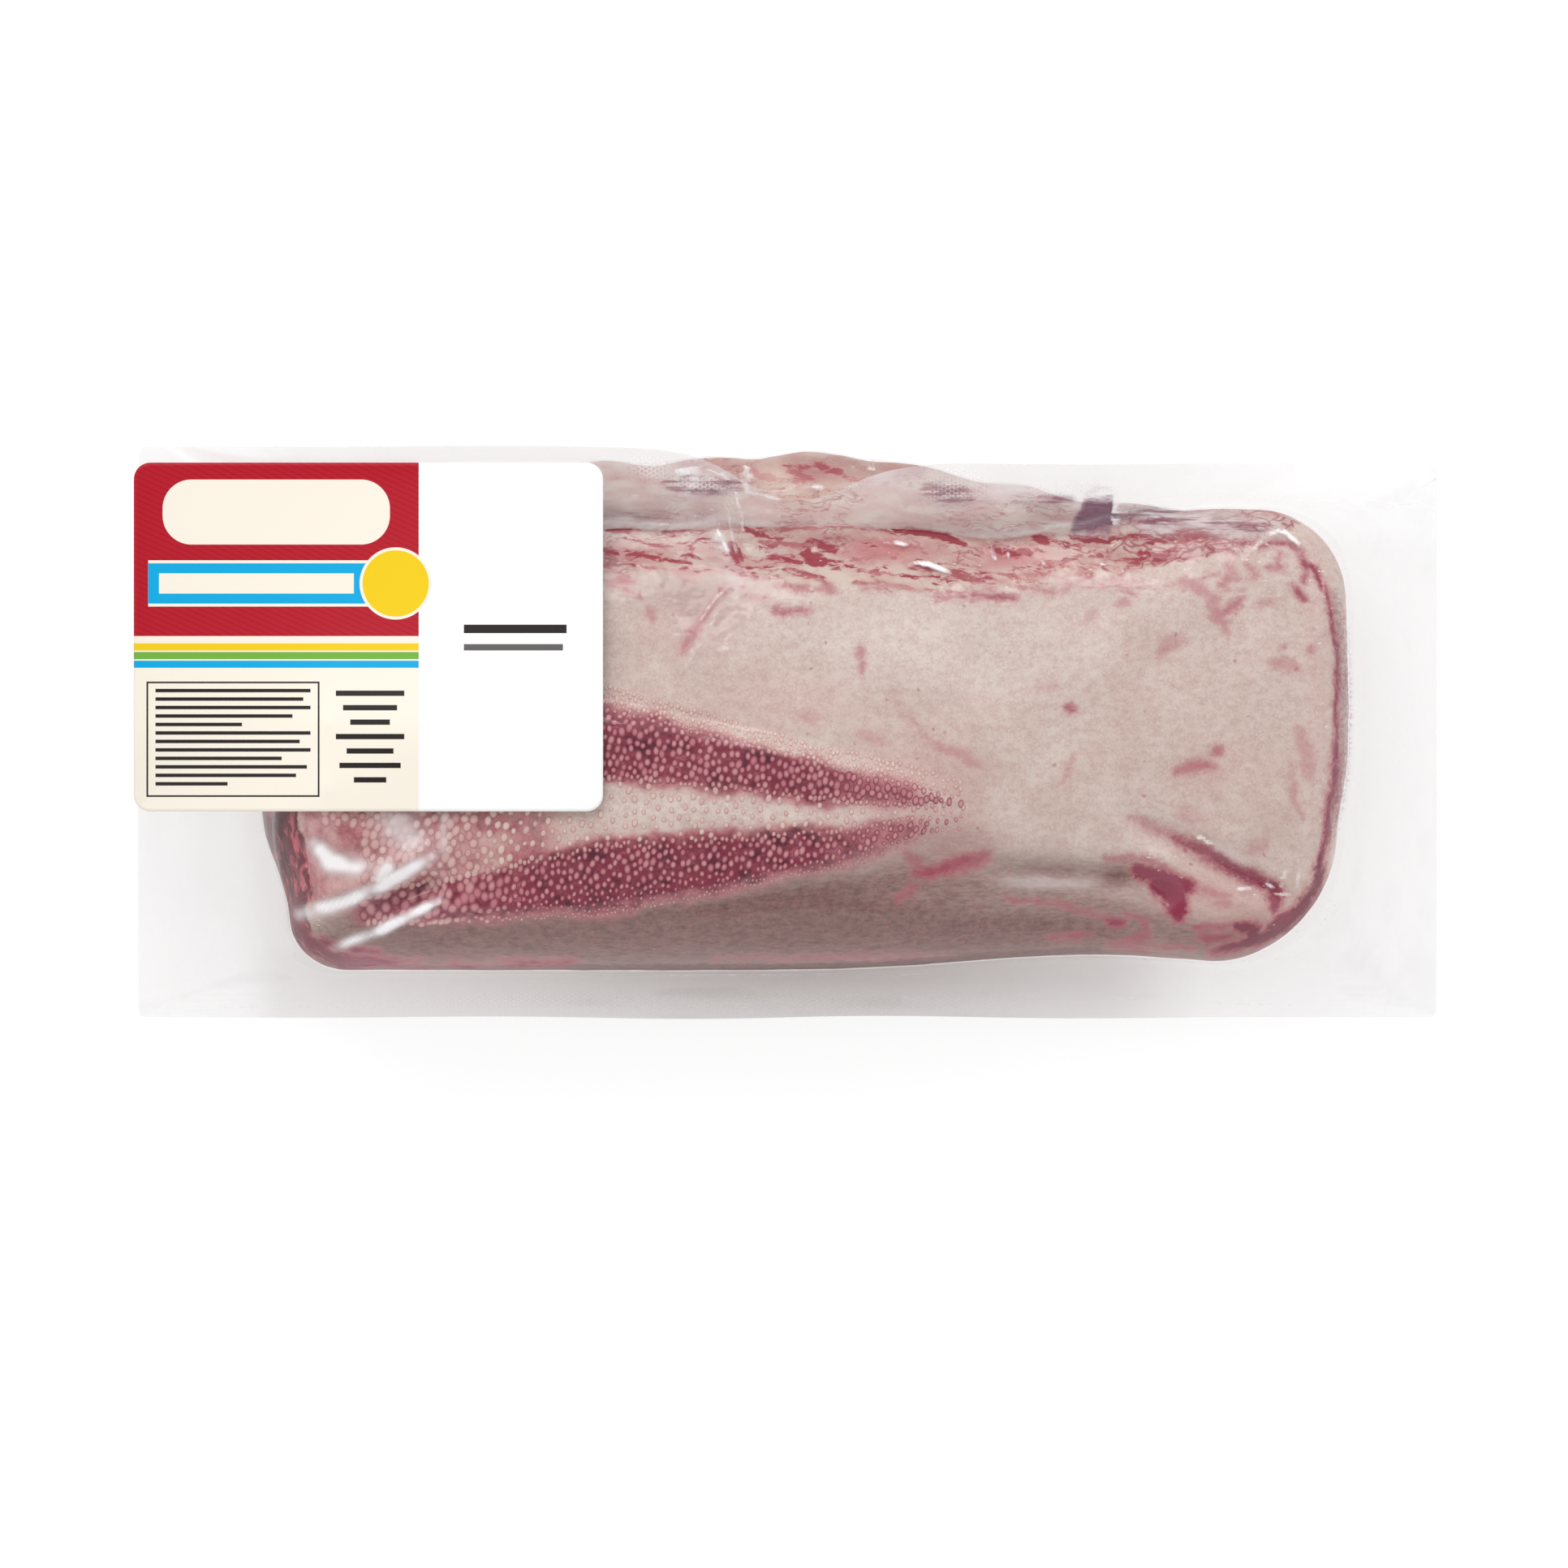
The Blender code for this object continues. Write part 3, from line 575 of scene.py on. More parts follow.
TIP_CREASES = (
    ((95.7, -23.2, 101.4, -26.7, 109, -29.6), 1.2, 0.42),
    ((107, -28.6, 111.2, -30.2, 118.2, -34.5, 125.2, -38.2, 132.3, -41.5), 1.8, 0.8),
    ((118.2, -34.5, 125.2, -38.2, 132.3, -41.5, 138.5, -45.2), 1.5, 1),
    ((134.5, -43, 136.5, -46.5, 136, -50.5), 1.9, 0.85),
    ((88.7, -35.2, 96, -35, 101.4, -35.9, 111.2, -40.8), 1, 0.55),
    ((97, -38.2, 105, -40.4, 114, -42.2), 2.4, 0.9),
    ((102, -41, 108, -44.5, 109, -51.8), 3.4, 0.95),
    ((106, -43, 113.5, -43.2), 2.2, 0.95),
    ((104.5, -42.5, 108.5, -46.5), 2.2, 1),
    ((114, -43, 123.3, -45), 1.2, 0.35),
    ((119.5, -47.2, 122.5, -47.6), 1, 0.4),
    ((62, -46.4, 76, -48.5, 85.2, -50.6, 94.3, -52.7), 1, 0.45),
    ((89, -52.4, 95, -53.4), 1.4, 0.9),
    ((95, -50.6, 99.8, -53, 100.6, -57.6, 95, -59, 90, -59.4), 0.9, 0.6),
    ((73.2, -57.8, 85.2, -56.8), 0.6, 0.7),
    ((112.6, -54.6, 123.8, -54.2), 1.1, 0.6),
    ((114, -57.6, 123.8, -57.4), 1.2, 0.7),
    ((124.5, -54.5, 130, -55, 129, -60), 2.2, 0.95),
    ((134, -55, 141.4, -51), 2, 0.9),
    ((89.6, -60.3, 113, -61.2), 0.7, 0.75),
    ((79.7, -6.4, 78.6, -10.5, 75.7, -13.7), 0.3, 0.4),
    ((139.3, -8.5, 142, -13, 141.5, -18, 144, -23), 0.6, 0.35),
    ((50, -37.2, 56.6, -33.5), 1.7, 0.65),
)
EDGE_BLOOD = (
    ((118, -61.6, 127, -59.6, 136.5, -56.2, 143.6, -50.6, 148.2, -42.4, 150.2, -35), 2.1, 1),
    ((149.6, -36, 151.4, -27, 153, -15, 154, 0), 1.3, 0.95),
    ((154, -4, 154.5, 10, 154.3, 24, 153, 34, 150.4, 42), 1.2, 0.9),
    ((-112, -65.2, -82.7, -65.4, -58, -64.8), 1.2, 1),
    ((-140, -46, -136, -56, -129, -61.4, -121, -65, -103.2, -65.6), 2.2, 1),
    ((-132, -57.5, -124, -60.5, -112, -62.6), 1, 0.9),
    ((-20, -64, 20, -63.4, 46, -62.8), 0.6, 0.5),
    ((126, -60.2, 133, -58, 140, -54.4), 2, 1),
    ((145, -49.5, 148.4, -42.5, 149.8, -36), 1.8, 1),
)
# The marks wander, so that no edge of theirs is straight
marks_x = meat_x + (0.9 * cloud(meat_base, (7, 7, 7), 51) + 0.2 * cloud(meat_base, (3, 3, 3), 52)) * MM
marks_y = meat_y + (0.7 * cloud(meat_base, (7, 7, 7), 53) + 0.2 * cloud(meat_base, (3, 3, 3), 54)) * MM
# Many fine streaks that run along the cut
STREAKS = 90
streak_chance = np.random.default_rng(19)
streaks = []
for _ in range(STREAKS):
    x, y = streak_chance.uniform(-52, 128), streak_chance.triangular(36, 45, 57)
    half_length, slope = streak_chance.uniform(1.2, 5.0), streak_chance.normal(0.0, 0.22)
    bow = streak_chance.uniform(-0.8, 0.8)
    path = (x - half_length, y - half_length * slope, x, y + bow, x + half_length, y + half_length * slope)
    streaks.append((path, streak_chance.uniform(0.1, 0.45), streak_chance.uniform(0.35, 0.9)))
BLOOD = SEAM_BLOOD + FLESH_VEINS + BLOOD_MARKS + TIP_CREASES + EDGE_BLOOD + tuple(streaks)
vein_depth, vein_strength = stroke_field(marks_x, marks_y, BLOOD)
# Down the front and the ends they break up into blotches
at_ends = np.maximum(past(-meat_y, 54, 6), eased((np.abs(meat_x / MM - 6) - 143) / 5))
blotches = np.abs(cloud(meat_base, (8, 8, 6), 55))
vein_depth = vein_depth - 2.4 * eased((wall_turn - 0.9) / 0.4) * at_ends * blotches

# Soft patches of tone, and of painted shade, as blots
PINK_PATCHES = (
    (28, 51, 13, 4, 1), (4, 72.5, 14, 2.5, 0.5), (62, 50, 12, 4, 0.7), (75, 46, 14, 6, 0.35),
    (44, -30, 13, 8, 0.9), (116, -42, 10, 5, 0.6), (-70, -32, 12, 10, 0.5), (20, 62, 50, 6, 0.2),
    (-102, -54, 16, 5, 0.5), (-127, -44, 10, 7, 0.8), (-131, -16, 5, 10, 0.9), (-24, 34, 16, 12, 0.6),
    (-45, 50, 10, 6, 0.3), (120, 0, 40, 60, 0.25), (-10, 8, 45, 9, 0.4), (38, -10, 20, 12, 0.7),
    (-105, -30, 25, 10, 0.4), (95, -48, 35, 9, 0.3), (-5, 73, 70, 5, 0.2), (50, -60, 60, 4, 0.3),
    (133, -52, 20, 9, 0.9), (148, 15, 4, 60, 0.35), (115, -11, 9, 5, 0.5),
)
BRUISES = (
    (-23, 68.5, 9, 1.8, 1), (-42, 60, 10, 2.2, 0.9), (46, 66, 6, 2.4, 0.8), (72, 64.5, 6, 1.5, 0.9),
    (9, 73.5, 8, 1.6, 0.3), (110, 60, 24, 3, 0.7), (148, -30, 3, 14, 0.35),
)
# Painted shade in the tip's creases, in the hollow between the root's folds, along the front flank and on the
# back bulge, with a few greyer patches of tone
GREY_AND_SHADE_PATCHES = (
    (74, -38, 15, 2.6, 0.4), (92.5, -39.5, 4.2, 2.4, 0.6), (0, 74, 40, 6, 0.55), (0, -58, 90, 7, 0.75),
    (66, -58, 22, 6, 0.4), (96, -40, 12, 3.5, 0.4), (46, -31, 16, 7, 0.35), (-32, 41, 22, 7, 0.22),
    (-22, 30, 9, 10, 0.2), (-112, -50, 12, 4.5, 0.8), (130, -57, 16, 5, 0.5), (-60, -57, 40, 7, 0.6),
    (-84, -54, 14, 6, 0.35),
)
PALE_PATCHES = (
    (-3, 72, 5, 2.6, 1), (8, 66, 16, 5, 0.45), (-35, -20, 32, 4.5, 1), (8, -22.5, 22, 3, 0.8),
    (95, 35, 30, 6, 0.5), (60, 15, 50, 14, 0.5), (30, 29, 40, 9, 0.6), (145, 18, 5, 25, 0.5),
    (126, 18, 14, 20, 0.6), (102, -32.5, 10, 2.2, 0.9), (78, -44.5, 18, 2.2, 0.8), (104, -56, 5, 2.5, 0.8),
    (128, -45, 6, 2.2, 0.6), (20, 43, 40, 3.5, 0.25), (85, 44, 16, 4, 0.5),
)
DARK_EDGES = (
    (134, -59, 14, 6, 0.9), (148, -45, 6, 12, 1), (-132, -60, 12, 8, 0.9), (-138, -30, 6, 30, 0.5),
)
FLAKY_SPAN = (78, 10)  # millimetres along the tongue, where the cut flank turns flaky

relief = (
    0.22 * cloud(meat_base, (7, 7, 7), 11)
    + 0.10 * cloud(meat_base, (2.6, 2.6, 2.6), 12)
    + raw * (0.45 * cloud(meat_base, (9, 3.5, 6), 13) - 0.1)
    + raw * 0.25 * cloud(meat_base, (3.5, 2, 3), 15)
    + raw * eased(wall_turn / 0.6) * 0.8 * cloud(meat_base, (12, 8, 8), 14)
    - 0.30 * eased(vein_depth / 2.0 + 0.6) * vein_strength
) * MM
close_under = 1.0 - 0.6 * eased((wall_turn - 1.1) / 0.4)
meat_lift = (np.minimum(relief, MEAT_PROUD) - MEAT_UNDER_FILM) * close_under
meat_points = meat_base + meat_out * meat_lift[:, None]
meat_points[:, 2] = np.maximum(meat_points[:, 2], MEAT_OFF_TABLE)


class Finish:
    """A material. Its methods add shader nodes, and take numbers, colours or other nodes' outputs."""

    def __init__(self, name):
        self.material, self.tree, self.shader = new_material(name)

    def node(self, kind, values=None, **settings):
        return add_node(self.tree, kind, values, **settings)

    def sums(self, operation, a, b=0.5, c=0.5, clamp=False):
        values = {0: a, 1: b, 2: c}
        return self.node("ShaderNodeMath", values, operation=operation, use_clamp=clamp).outputs[0]

    plus = partialmethod(sums, "ADD")
    minus = partialmethod(sums, "SUBTRACT")
    times = partialmethod(sums, "MULTIPLY")
    scaled = partialmethod(sums, "MULTIPLY_ADD")
    most = partialmethod(sums, "MAXIMUM")

    def between(self, value, low, high):
        """0 where the value is at low, 1 where it is at high, and a smooth step between."""
        values = {"Value": value, "From Min": low, "From Max": high}
        return self.node("ShaderNodeMapRange", values, interpolation_type="SMOOTHSTEP").outputs["Result"]

    def mixed(self, share, first, second):
        """The first colour where share is 0 and the second where it is 1."""
        return self.node("ShaderNodeMix", {0: share, 6: first, 7: second}, data_type="RGBA").outputs[2]

    def either(self, share, first, second):
        """The first number where share is 0 and the second where it is 1."""
        return self.node("ShaderNodeMix", {0: share, 2: first, 3: second}, data_type="FLOAT").outputs[0]

    def stretched(self, vector, sizes_mm):
        """Coordinates in which one unit is sizes_mm along each axis."""
        scale = tuple(1.0 / (size * MM) for size in sizes_mm)
        return self.node("ShaderNodeMapping", {"Vector": vector, "Scale": scale}).outputs["Vector"]

    def speckle(self, vector, scale, detail=2.0, roughness=0.5, output="Fac"):
        values = {"Vector": vector, "Scale": scale, "Detail": detail, "Roughness": roughness}
        return self.node("ShaderNodeTexNoise", values).outputs[output]

    def streaked(self, vector, sizes_mm, detail=2.0, roughness=0.5):
        """A speckle whose lumps are about sizes_mm along each axis."""
        return self.speckle(self.stretched(vector, sizes_mm), 1.0, detail, roughness)

    def centred(self, value, width):
        """A speckle turned to values either side of zero, width apart."""
        return self.scaled(value, width, -width / 2)

    def cells(self, vector, sizes_mm, **settings):
        """Irregular cells about sizes_mm along each axis."""
        values = {"Vector": self.stretched(vector, sizes_mm), "Scale": 1.0}
        return self.node("ShaderNodeTexVoronoi", values, **settings)

    def wandering(self, vector, scale, detail, reach):
        """Coordinates that wander by a speckle times reach, so that a pattern's lines bend."""
        values = {0: self.speckle(vector, scale, detail, output="Color"), 1: (reach,) * 3, 2: vector}
        return self.node("ShaderNodeVectorMath", values, operation="MULTIPLY_ADD").outputs["Vector"]

    def field(self, name):
        return self.node("ShaderNodeAttribute", attribute_name=name).outputs["Fac"]


def paint(red, green, blue):
    """A colour given as it is seen, in steps of 255, as the shader wants it."""
    seen = (red / 255, green / 255, blue / 255)
    return tuple(((c + 0.055) / 1.055) ** 2.4 if c > 0.0404 else c / 12.92 for c in seen)


meat = Finish("tongue_flesh")
tongue = mesh_piece("tongue", meat_points, meat_faces, meat.material)
keep_fields(
    tongue,
    wine=wine,
    raw=raw,
    root_end=root_end * seen_above,
    vein_depth=vein_depth,
    vein_strength=vein_strength * seen_above,
    flaky=past(meat_x, *FLAKY_SPAN),
    pink=blots(meat_x, meat_y, PINK_PATCHES),
    pale=blots(meat_x, meat_y, PALE_PATCHES),
    bruise=blots(meat_x, meat_y, BRUISES),
    dark_edge=blots(meat_x, meat_y, DARK_EDGES),
    grey=np.clip(blots(meat_x, meat_y, GREY_AND_SHADE_PATCHES) + flank_grey, 0.0, 1.0),
)

place = meat.node("ShaderNodeTexCoord").outputs["Object"]
fine = meat.speckle(place, 900, 3.0, 0.6)
patchy = meat.speckle(place, 70, 4.0, 0.6)
ragged_fine = meat.speckle(place, 380, 3.0, 0.65)
pale, pink, grey, on_raw = (meat.field(name) for name in ("pale", "pink", "grey", "raw"))

# The skin: pale, with pinker patches, greyer patches and painted shade, and fine thread-like papillae in rows
skin = meat.mixed(meat.between(patchy, 0.35, 0.68), paint(214, 201, 191), paint(204, 186, 176))
skin = meat.mixed(pale, skin, paint(219, 205, 196))
skin = meat.mixed(meat.times(pink, 0.8), skin, paint(204, 166, 160))
# Painted shade, darker and greyer on the front flank and in the creases, with darker combed streaks in it
skin = meat.mixed(meat.times(grey, 0.9), skin, paint(108, 73, 69))
combed = meat.between(meat.streaked(place, (3.2, 1.0, 1.3), 5.0, 0.8), 0.38, 0.62)
combed = meat.times(combed, meat.times(grey, 0.75))
skin = meat.mixed(combed, skin, paint(98, 62, 62))
wobbly = meat.wandering(place, 420.0, 1.0, 1.6 * MM)
threads = meat.cells(wobbly, (0.80, 0.95, 0.9))
thread_tips = meat.between(threads.outputs["Distance"], 0.60, 0.15)
brushed = meat.between(meat.streaked(place, (2.6, 2.1, 2.3), 5.0, 0.75), 0.36, 0.66)
gaps_between = meat.times(meat.minus(1.0, thread_tips), meat.scaled(brushed, 0.26, 0.05))
skin = meat.mixed(gaps_between, skin, paint(158, 112, 108))
skin = meat.mixed(meat.times(brushed, 0.16), skin, paint(186, 142, 136))
pits = meat.cells(wobbly, (4.2, 4.6, 4.4))
chosen = meat.node("ShaderNodeSeparateColor", {0: pits.outputs["Color"]}).outputs["Red"]
pit = meat.times(meat.between(pits.outputs["Distance"], 0.17, 0.07), meat.between(chosen, 0.45, 0.95))
skin = meat.mixed(meat.times(pit, 0.6), skin, paint(168, 96, 98))
skin = meat.mixed(meat.between(meat.field("wine"), 0.0, 0.7), skin, paint(190, 120, 124))

# Dark red ground between the blunt papillae
wine_edge = meat.plus(meat.field("wine"), meat.centred(ragged_fine, 1.1))
blotchy = meat.streaked(place, (7, 5, 6), 3.0, 0.6)
ground = meat.mixed(meat.between(blotchy, 0.46, 0.64), paint(124, 35, 58), paint(80, 14, 36))
ground = meat.mixed(meat.between(blotchy, 0.40, 0.30), ground, paint(160, 84, 98))
colour = meat.mixed(meat.between(wine_edge, 0.2, 1.05), skin, ground)

# Raw flesh: pale flakes with dark red between them
bent = meat.wandering(place, 160.0, 2.0, 6 * MM)
flakes = meat.cells(bent, (7.5, 3.0, 3.4), feature="DISTANCE_TO_EDGE")
flake_tone = meat.streaked(place, (9, 4, 5), 3.0)
flesh = meat.mixed(meat.between(flake_tone, 0.38, 0.62), paint(198, 182, 172), paint(186, 150, 144))
flesh = meat.mixed(meat.times(pink, 0.75), flesh, paint(192, 104, 108))
flesh = meat.mixed(pale, flesh, paint(226, 205, 190))
gaps = meat.times(meat.between(flakes.outputs["Distance"], 0.12, 0.0), meat.between(patchy, 0.40, 0.55))
gaps = meat.times(gaps, meat.scaled(meat.field("flaky"), 0.8, 0.1))
flesh = meat.mixed(gaps, flesh, paint(142, 44, 60))
# Dark red lines that run along the cut, where a stretched speckle passes its middle
for size, shift, strength in (((26, 4.2, 6.0), 0.0, 0.7), ((14, 3.0, 4.0), 7.3, 0.5)):
    moved = {"Vector": meat.stretched(bent, size), "Location": (shift, 1.7, 0.4)}
    moved = meat.node("ShaderNodeMapping", moved).outputs["Vector"]
    crossing = meat.sums("ABSOLUTE", meat.centred(meat.speckle(moved, 1.0, 3.0, 0.6), 2.0))
    line = meat.times(meat.between(crossing, 0.06, 0.0), meat.between(patchy, 0.47, 0.58))
    flesh = meat.mixed(meat.times(line, strength), flesh, paint(150, 44, 62))
bruised = meat.between(meat.streaked(bent, (13, 1.8, 3), 4.0, 0.6), 0.36, 0.60)
bruised = meat.times(meat.field("bruise"), meat.scaled(bruised, 0.75, 0.1))
flesh = meat.mixed(bruised, flesh, paint(120, 66, 84))
# Painted shade on the raw flesh too, as on the bulge
flesh = meat.mixed(meat.times(grey, 0.7), flesh, paint(150, 112, 104))
raw_edge = meat.plus(on_raw, meat.centred(ragged_fine, 0.8))
colour = meat.mixed(meat.between(raw_edge, 0.3, 0.7), colour, flesh)

# The raw end of the root, streaked dark and light
end_streaks = meat.between(meat.streaked(bent, (2.2, 9, 5), 3.0, 0.6), 0.36, 0.52)
end_colour = meat.mixed(end_streaks, paint(184, 86, 98), paint(96, 6, 30))
end_edge = meat.plus(meat.field("root_end"), meat.centred(ragged_fine, 0.7))
colour = meat.mixed(meat.between(end_edge, 0.35, 0.65), colour, end_colour)

# Blood in the creases, veins and seam, and smeared under the film
broken = meat.streaked(bent, (3.0, 2.4, 2.6), 5.0, 0.75)
vein_edge = meat.plus(meat.field("vein_depth"), meat.centred(broken, 5.0))
vein_strong = meat.field("vein_strength")
drawn = meat.streaked(bent, (6.5, 1.0, 1.8), 4.0, 0.7)
raw_vein_edge = meat.plus(meat.field("vein_depth"), meat.centred(drawn, 4.6))
halo = meat.times(meat.between(vein_edge, -2.2, 0.3), meat.times(vein_strong, 0.5))
halo = meat.times(halo, meat.scaled(on_raw, -0.6, 1.0))
colour = meat.mixed(halo, colour, paint(182, 112, 114))
core = meat.either(on_raw, meat.between(vein_edge, -1.1, 1.3), meat.between(raw_vein_edge, -0.3, 0.3))
core = meat.times(core, meat.times(vein_strong, meat.scaled(on_raw, 0.4, 1.0), clamp=True))
skin_blood = meat.mixed(meat.between(vein_strong, 0.35, 0.9), paint(172, 74, 96), paint(158, 34, 76))
raw_blood = meat.mixed(meat.between(vein_strong, 0.35, 0.9), paint(176, 80, 90), paint(160, 34, 62))
blood = meat.mixed(on_raw, skin_blood, raw_blood)
deep_blood = meat.mixed(on_raw, paint(136, 8, 60), paint(146, 22, 46))
deep_blood = meat.mixed(meat.field("dark_edge"), deep_blood, paint(74, 2, 30))
blood = meat.mixed(meat.between(core, 0.5, 0.9), blood, deep_blood)
blood = meat.mixed(meat.times(meat.field("dark_edge"), 0.7), blood, paint(122, 2, 44))
colour = meat.mixed(core, colour, blood)
height = meat.scaled(thread_tips, 0.25, meat.times(fine, 0.3))
bumps = {"Height": height, "Strength": 0.5, "Distance": 0.5 * MM}
bump = meat.node("ShaderNodeBump", bumps).outputs["Normal"]
wet = {"Roughness": 0.5, "Specular IOR Level": 0.25}
fill(meat.tree, meat.shader, {"Base Color": colour, "Normal": bump, **wet})
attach(tongue, "root")
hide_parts("pouch")


# The blunt papillae: pale domes that stand on the dark red bands, fine at the bands' edges,
# and larger and ringed with red on the pale strip between them and at the root. Each is a
# small cap whose foot is sunk in the flesh.

LABEL_SIDES = (-180.6 * MM, -50.5 * MM, -21.8 * MM, 74.9 * MM)  # no papillae stand under the label
PAPILLA_SIDES = 8
# Each ring's share of the radius and of the height, and how much of the tip's colour it has
PAPILLA_RINGS = ((0.40, 0.90, 0.80), (0.75, 0.60, 0.36), (1.0, 0.15, 0.04), (1.15, -0.60, 0.0))
PAPILLA_HEIGHT = 0.28 * MM
TRIED_PLACES = 60000
PAPILLA_LEFT, PAPILLA_RIGHT, PAPILLA_FRONT, PAPILLA_BACK = -128, 52, -58, 14  # millimetres
# The pale strip between the bands: places along it, its middle and half its width, in millimetres
STRIP_MIDDLE = ((-150, -50, 35, 45), (-24, -21, -22, -22))
STRIP_HALF_WIDTH = ((-150, -50, 10, 38, 46), (26, 11, 6, 3, 1))
# Radius and room in millimetres, at a band's edge, what its inside adds, and on the strip
EDGE_RADIUS, EDGE_ROOM, INSIDE_RADIUS, INSIDE_ROOM = 0.50, 1.25, 0.38, 0.58
STRIP_RADIUS, STRIP_ROOM = 0.68, 2.6
BARE_CORNER = (-117 * MM, -25 * MM)  # no papillae stand to the left and in front of it
THIN_OUT_FROM, THIN_OUT_RUN = 34, 16  # millimetres along the tongue, where the bands run out
UNDER_LABEL = 2 * MM
FULL_RADIUS = 0.7  # millimetres, below which a papilla is also lower
PLACE_GRID = 2 * MM  # the cells in which the papillae near a place are found
ROOM_SHARE, ACROSS_SHARE = 0.86, 0.8  # of its room, and of distances across the tongue, that count
DOWN = Vector((0, 0, -1))
ABOVE_PACK = 0.2

chance = np.random.default_rng(7)
meat_search = BVHTree.FromPolygons(meat_points.tolist(), meat_faces[:-1])


def papilla_size(x, y):
    """A papilla's radius and the room it keeps, in millimetres, and how deep in a dark band it stands."""
    depth = max(band_depth(x, y, UPPER_BAND), band_depth(x, y, LOWER_BAND))
    lower_middle = np.interp(x / MM, *LOWER_BAND[:2])
    at_root = float(past(-x, 66, 30))
    off_strip = abs(y / MM - np.interp(x / MM, *STRIP_MIDDLE)) - np.interp(x / MM, *STRIP_HALF_WIDTH)
    outer = y > 0.0 or off_strip > 0.0
    if (depth < -0.8 and y / MM < lower_middle) or (x < BARE_CORNER[0] and y < BARE_CORNER[1]):
        return None
    if depth > -5.0 * (1 - 0.6 * at_root) and (depth > 0.0 or outer):
        inside = float(eased((depth + 1.0) / 4.5))
        radius, room = EDGE_RADIUS + INSIDE_RADIUS * inside, EDGE_ROOM + INSIDE_ROOM * inside
    elif not outer:
        radius, room = STRIP_RADIUS - 0.02 * at_root, STRIP_ROOM - 0.9 * at_root
    else:
        return None
    if x > THIN_OUT_FROM * MM and chance.uniform() < (x / MM - THIN_OUT_FROM) / THIN_OUT_RUN:
        return None
    low_in_band = float(eased((lower_middle - y / MM) / 6.0)) * (1.0 - at_root)
    radius, room = radius * (1.0 - 0.45 * low_in_band), room * (1.0 - 0.2 * low_in_band)
    if y > -20 * MM:
        radius = radius * 1.12
    return radius * (1 + 0.9 * at_root), room * (1 + 0.25 * at_root), depth


def down_to_meat(x, y):
    """The place on the tongue straight below, and the outward direction there."""
    return meat_search.ray_cast(Vector((x, y, ABOVE_PACK)), DOWN)[:2]


placed = {}
papillae_rows = []
tried_x = chance.uniform(PAPILLA_LEFT, PAPILLA_RIGHT, TRIED_PLACES) * MM
tried_y = chance.uniform(PAPILLA_FRONT, PAPILLA_BACK, TRIED_PLACES) * MM
for px, py in zip(tried_x.tolist(), tried_y.tolist()):
    if px < LABEL_SIDES[1] - UNDER_LABEL and py > LABEL_SIDES[2] + UNDER_LABEL:
        continue
    size = papilla_size(px, py)
    if size is None:
        continue
    radius, room, depth = size
    column, row = int(px // PLACE_GRID), int(py // PLACE_GRID)
    near = [q for i, j in np.ndindex(5, 5) for q in placed.get((column + i - 2, row + j - 2), ())]
    if any(math.hypot(px - qx, (py - qy) * ACROSS_SHARE) < room * MM * ROOM_SHARE for qx, qy in near):
        continue
    placed.setdefault((column, row), []).append((px, py))
    papillae_rows.append((px, py, radius * chance.uniform(0.8, 1.2), depth))

cap_points, cap_faces, cap_tip, cap_dark, cap_tone, cap_grey = [], [], [], [], [], []
points_in_cap = 1 + len(PAPILLA_RINGS) * PAPILLA_SIDES
for px, py, radius, depth in papillae_rows:
    spot, normal = down_to_meat(px, py)
    if spot is None:
        continue
    side = normal.cross(Vector((chance.uniform(-0.1, 0.5), 1.0, 0.0))).normalized()
    ahead = side.cross(normal) * chance.uniform(1.05, 1.6)
    start = len(cap_points)
    flat = min(1.0, radius / FULL_RADIUS)
    cap_points.append(spot + normal * PAPILLA_HEIGHT * flat)
    cap_tip.append(1.0)
    for share, rise, tip in PAPILLA_RINGS:
        for k in range(PAPILLA_SIDES):
            turn = math.tau * k / PAPILLA_SIDES
            away = spot + (side * math.cos(turn) + ahead * math.sin(turn)) * radius * share * MM
            below = down_to_meat(away.x, away.y)[0] or away
            cap_points.append(below + normal * PAPILLA_HEIGHT * flat * rise)
            cap_tip.append(tip)
    reddened = 0.40 * float(past(-px, 78, 14))
    cap_dark += [max(float(eased((depth + 2.0) / 4.0)), reddened)] * points_in_cap
    cap_tone += [chance.uniform()] * points_in_cap
    # How much of the front flank's painted shade falls on this papilla
    cap_grey += [float(eased((np.interp(px / MM, *FLANK_EDGE) - 7.0 - py / MM) / 9.0))] * points_in_cap
    for k in range(PAPILLA_SIDES):
        beside = (k + 1) % PAPILLA_SIDES
        cap_faces.append((start, start + 1 + k, start + 1 + beside))
        for ring in range(len(PAPILLA_RINGS) - 1):
            inner = start + 1 + ring * PAPILLA_SIDES
            outer = inner + PAPILLA_SIDES
            cap_faces.append((inner + k, outer + k, outer + beside, inner + beside))

caps = Finish("papilla_skin")
papillae = mesh_piece("papillae", [tuple(p) for p in cap_points], cap_faces, caps.material)
keep_fields(papillae, tip=cap_tip, dark=cap_dark, tone=cap_tone, grey=cap_grey)
tip, dark, tone, grey = (caps.field(name) for name in ("tip", "dark", "tone", "grey"))
low = caps.mixed(dark, paint(192, 138, 132), paint(130, 44, 66))
# Painted shade of the front flank, on the papillae too
low = caps.mixed(grey, low, paint(120, 84, 84))
top = caps.mixed(dark, paint(214, 194, 184), paint(200, 142, 144))
top = caps.mixed(caps.times(tone, caps.scaled(dark, 0.45, 0.3)), top, paint(176, 100, 114))
top = caps.mixed(caps.times(grey, 0.9), top, paint(160, 128, 124))
tip_share = caps.either(dark, caps.between(tip, 0.0, 0.6), caps.between(tip, 0.05, 0.95))
fill(caps.tree, caps.shader, {"Base Color": caps.mixed(tip_share, low, top), **wet})
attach(papillae, "root")
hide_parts("pouch")
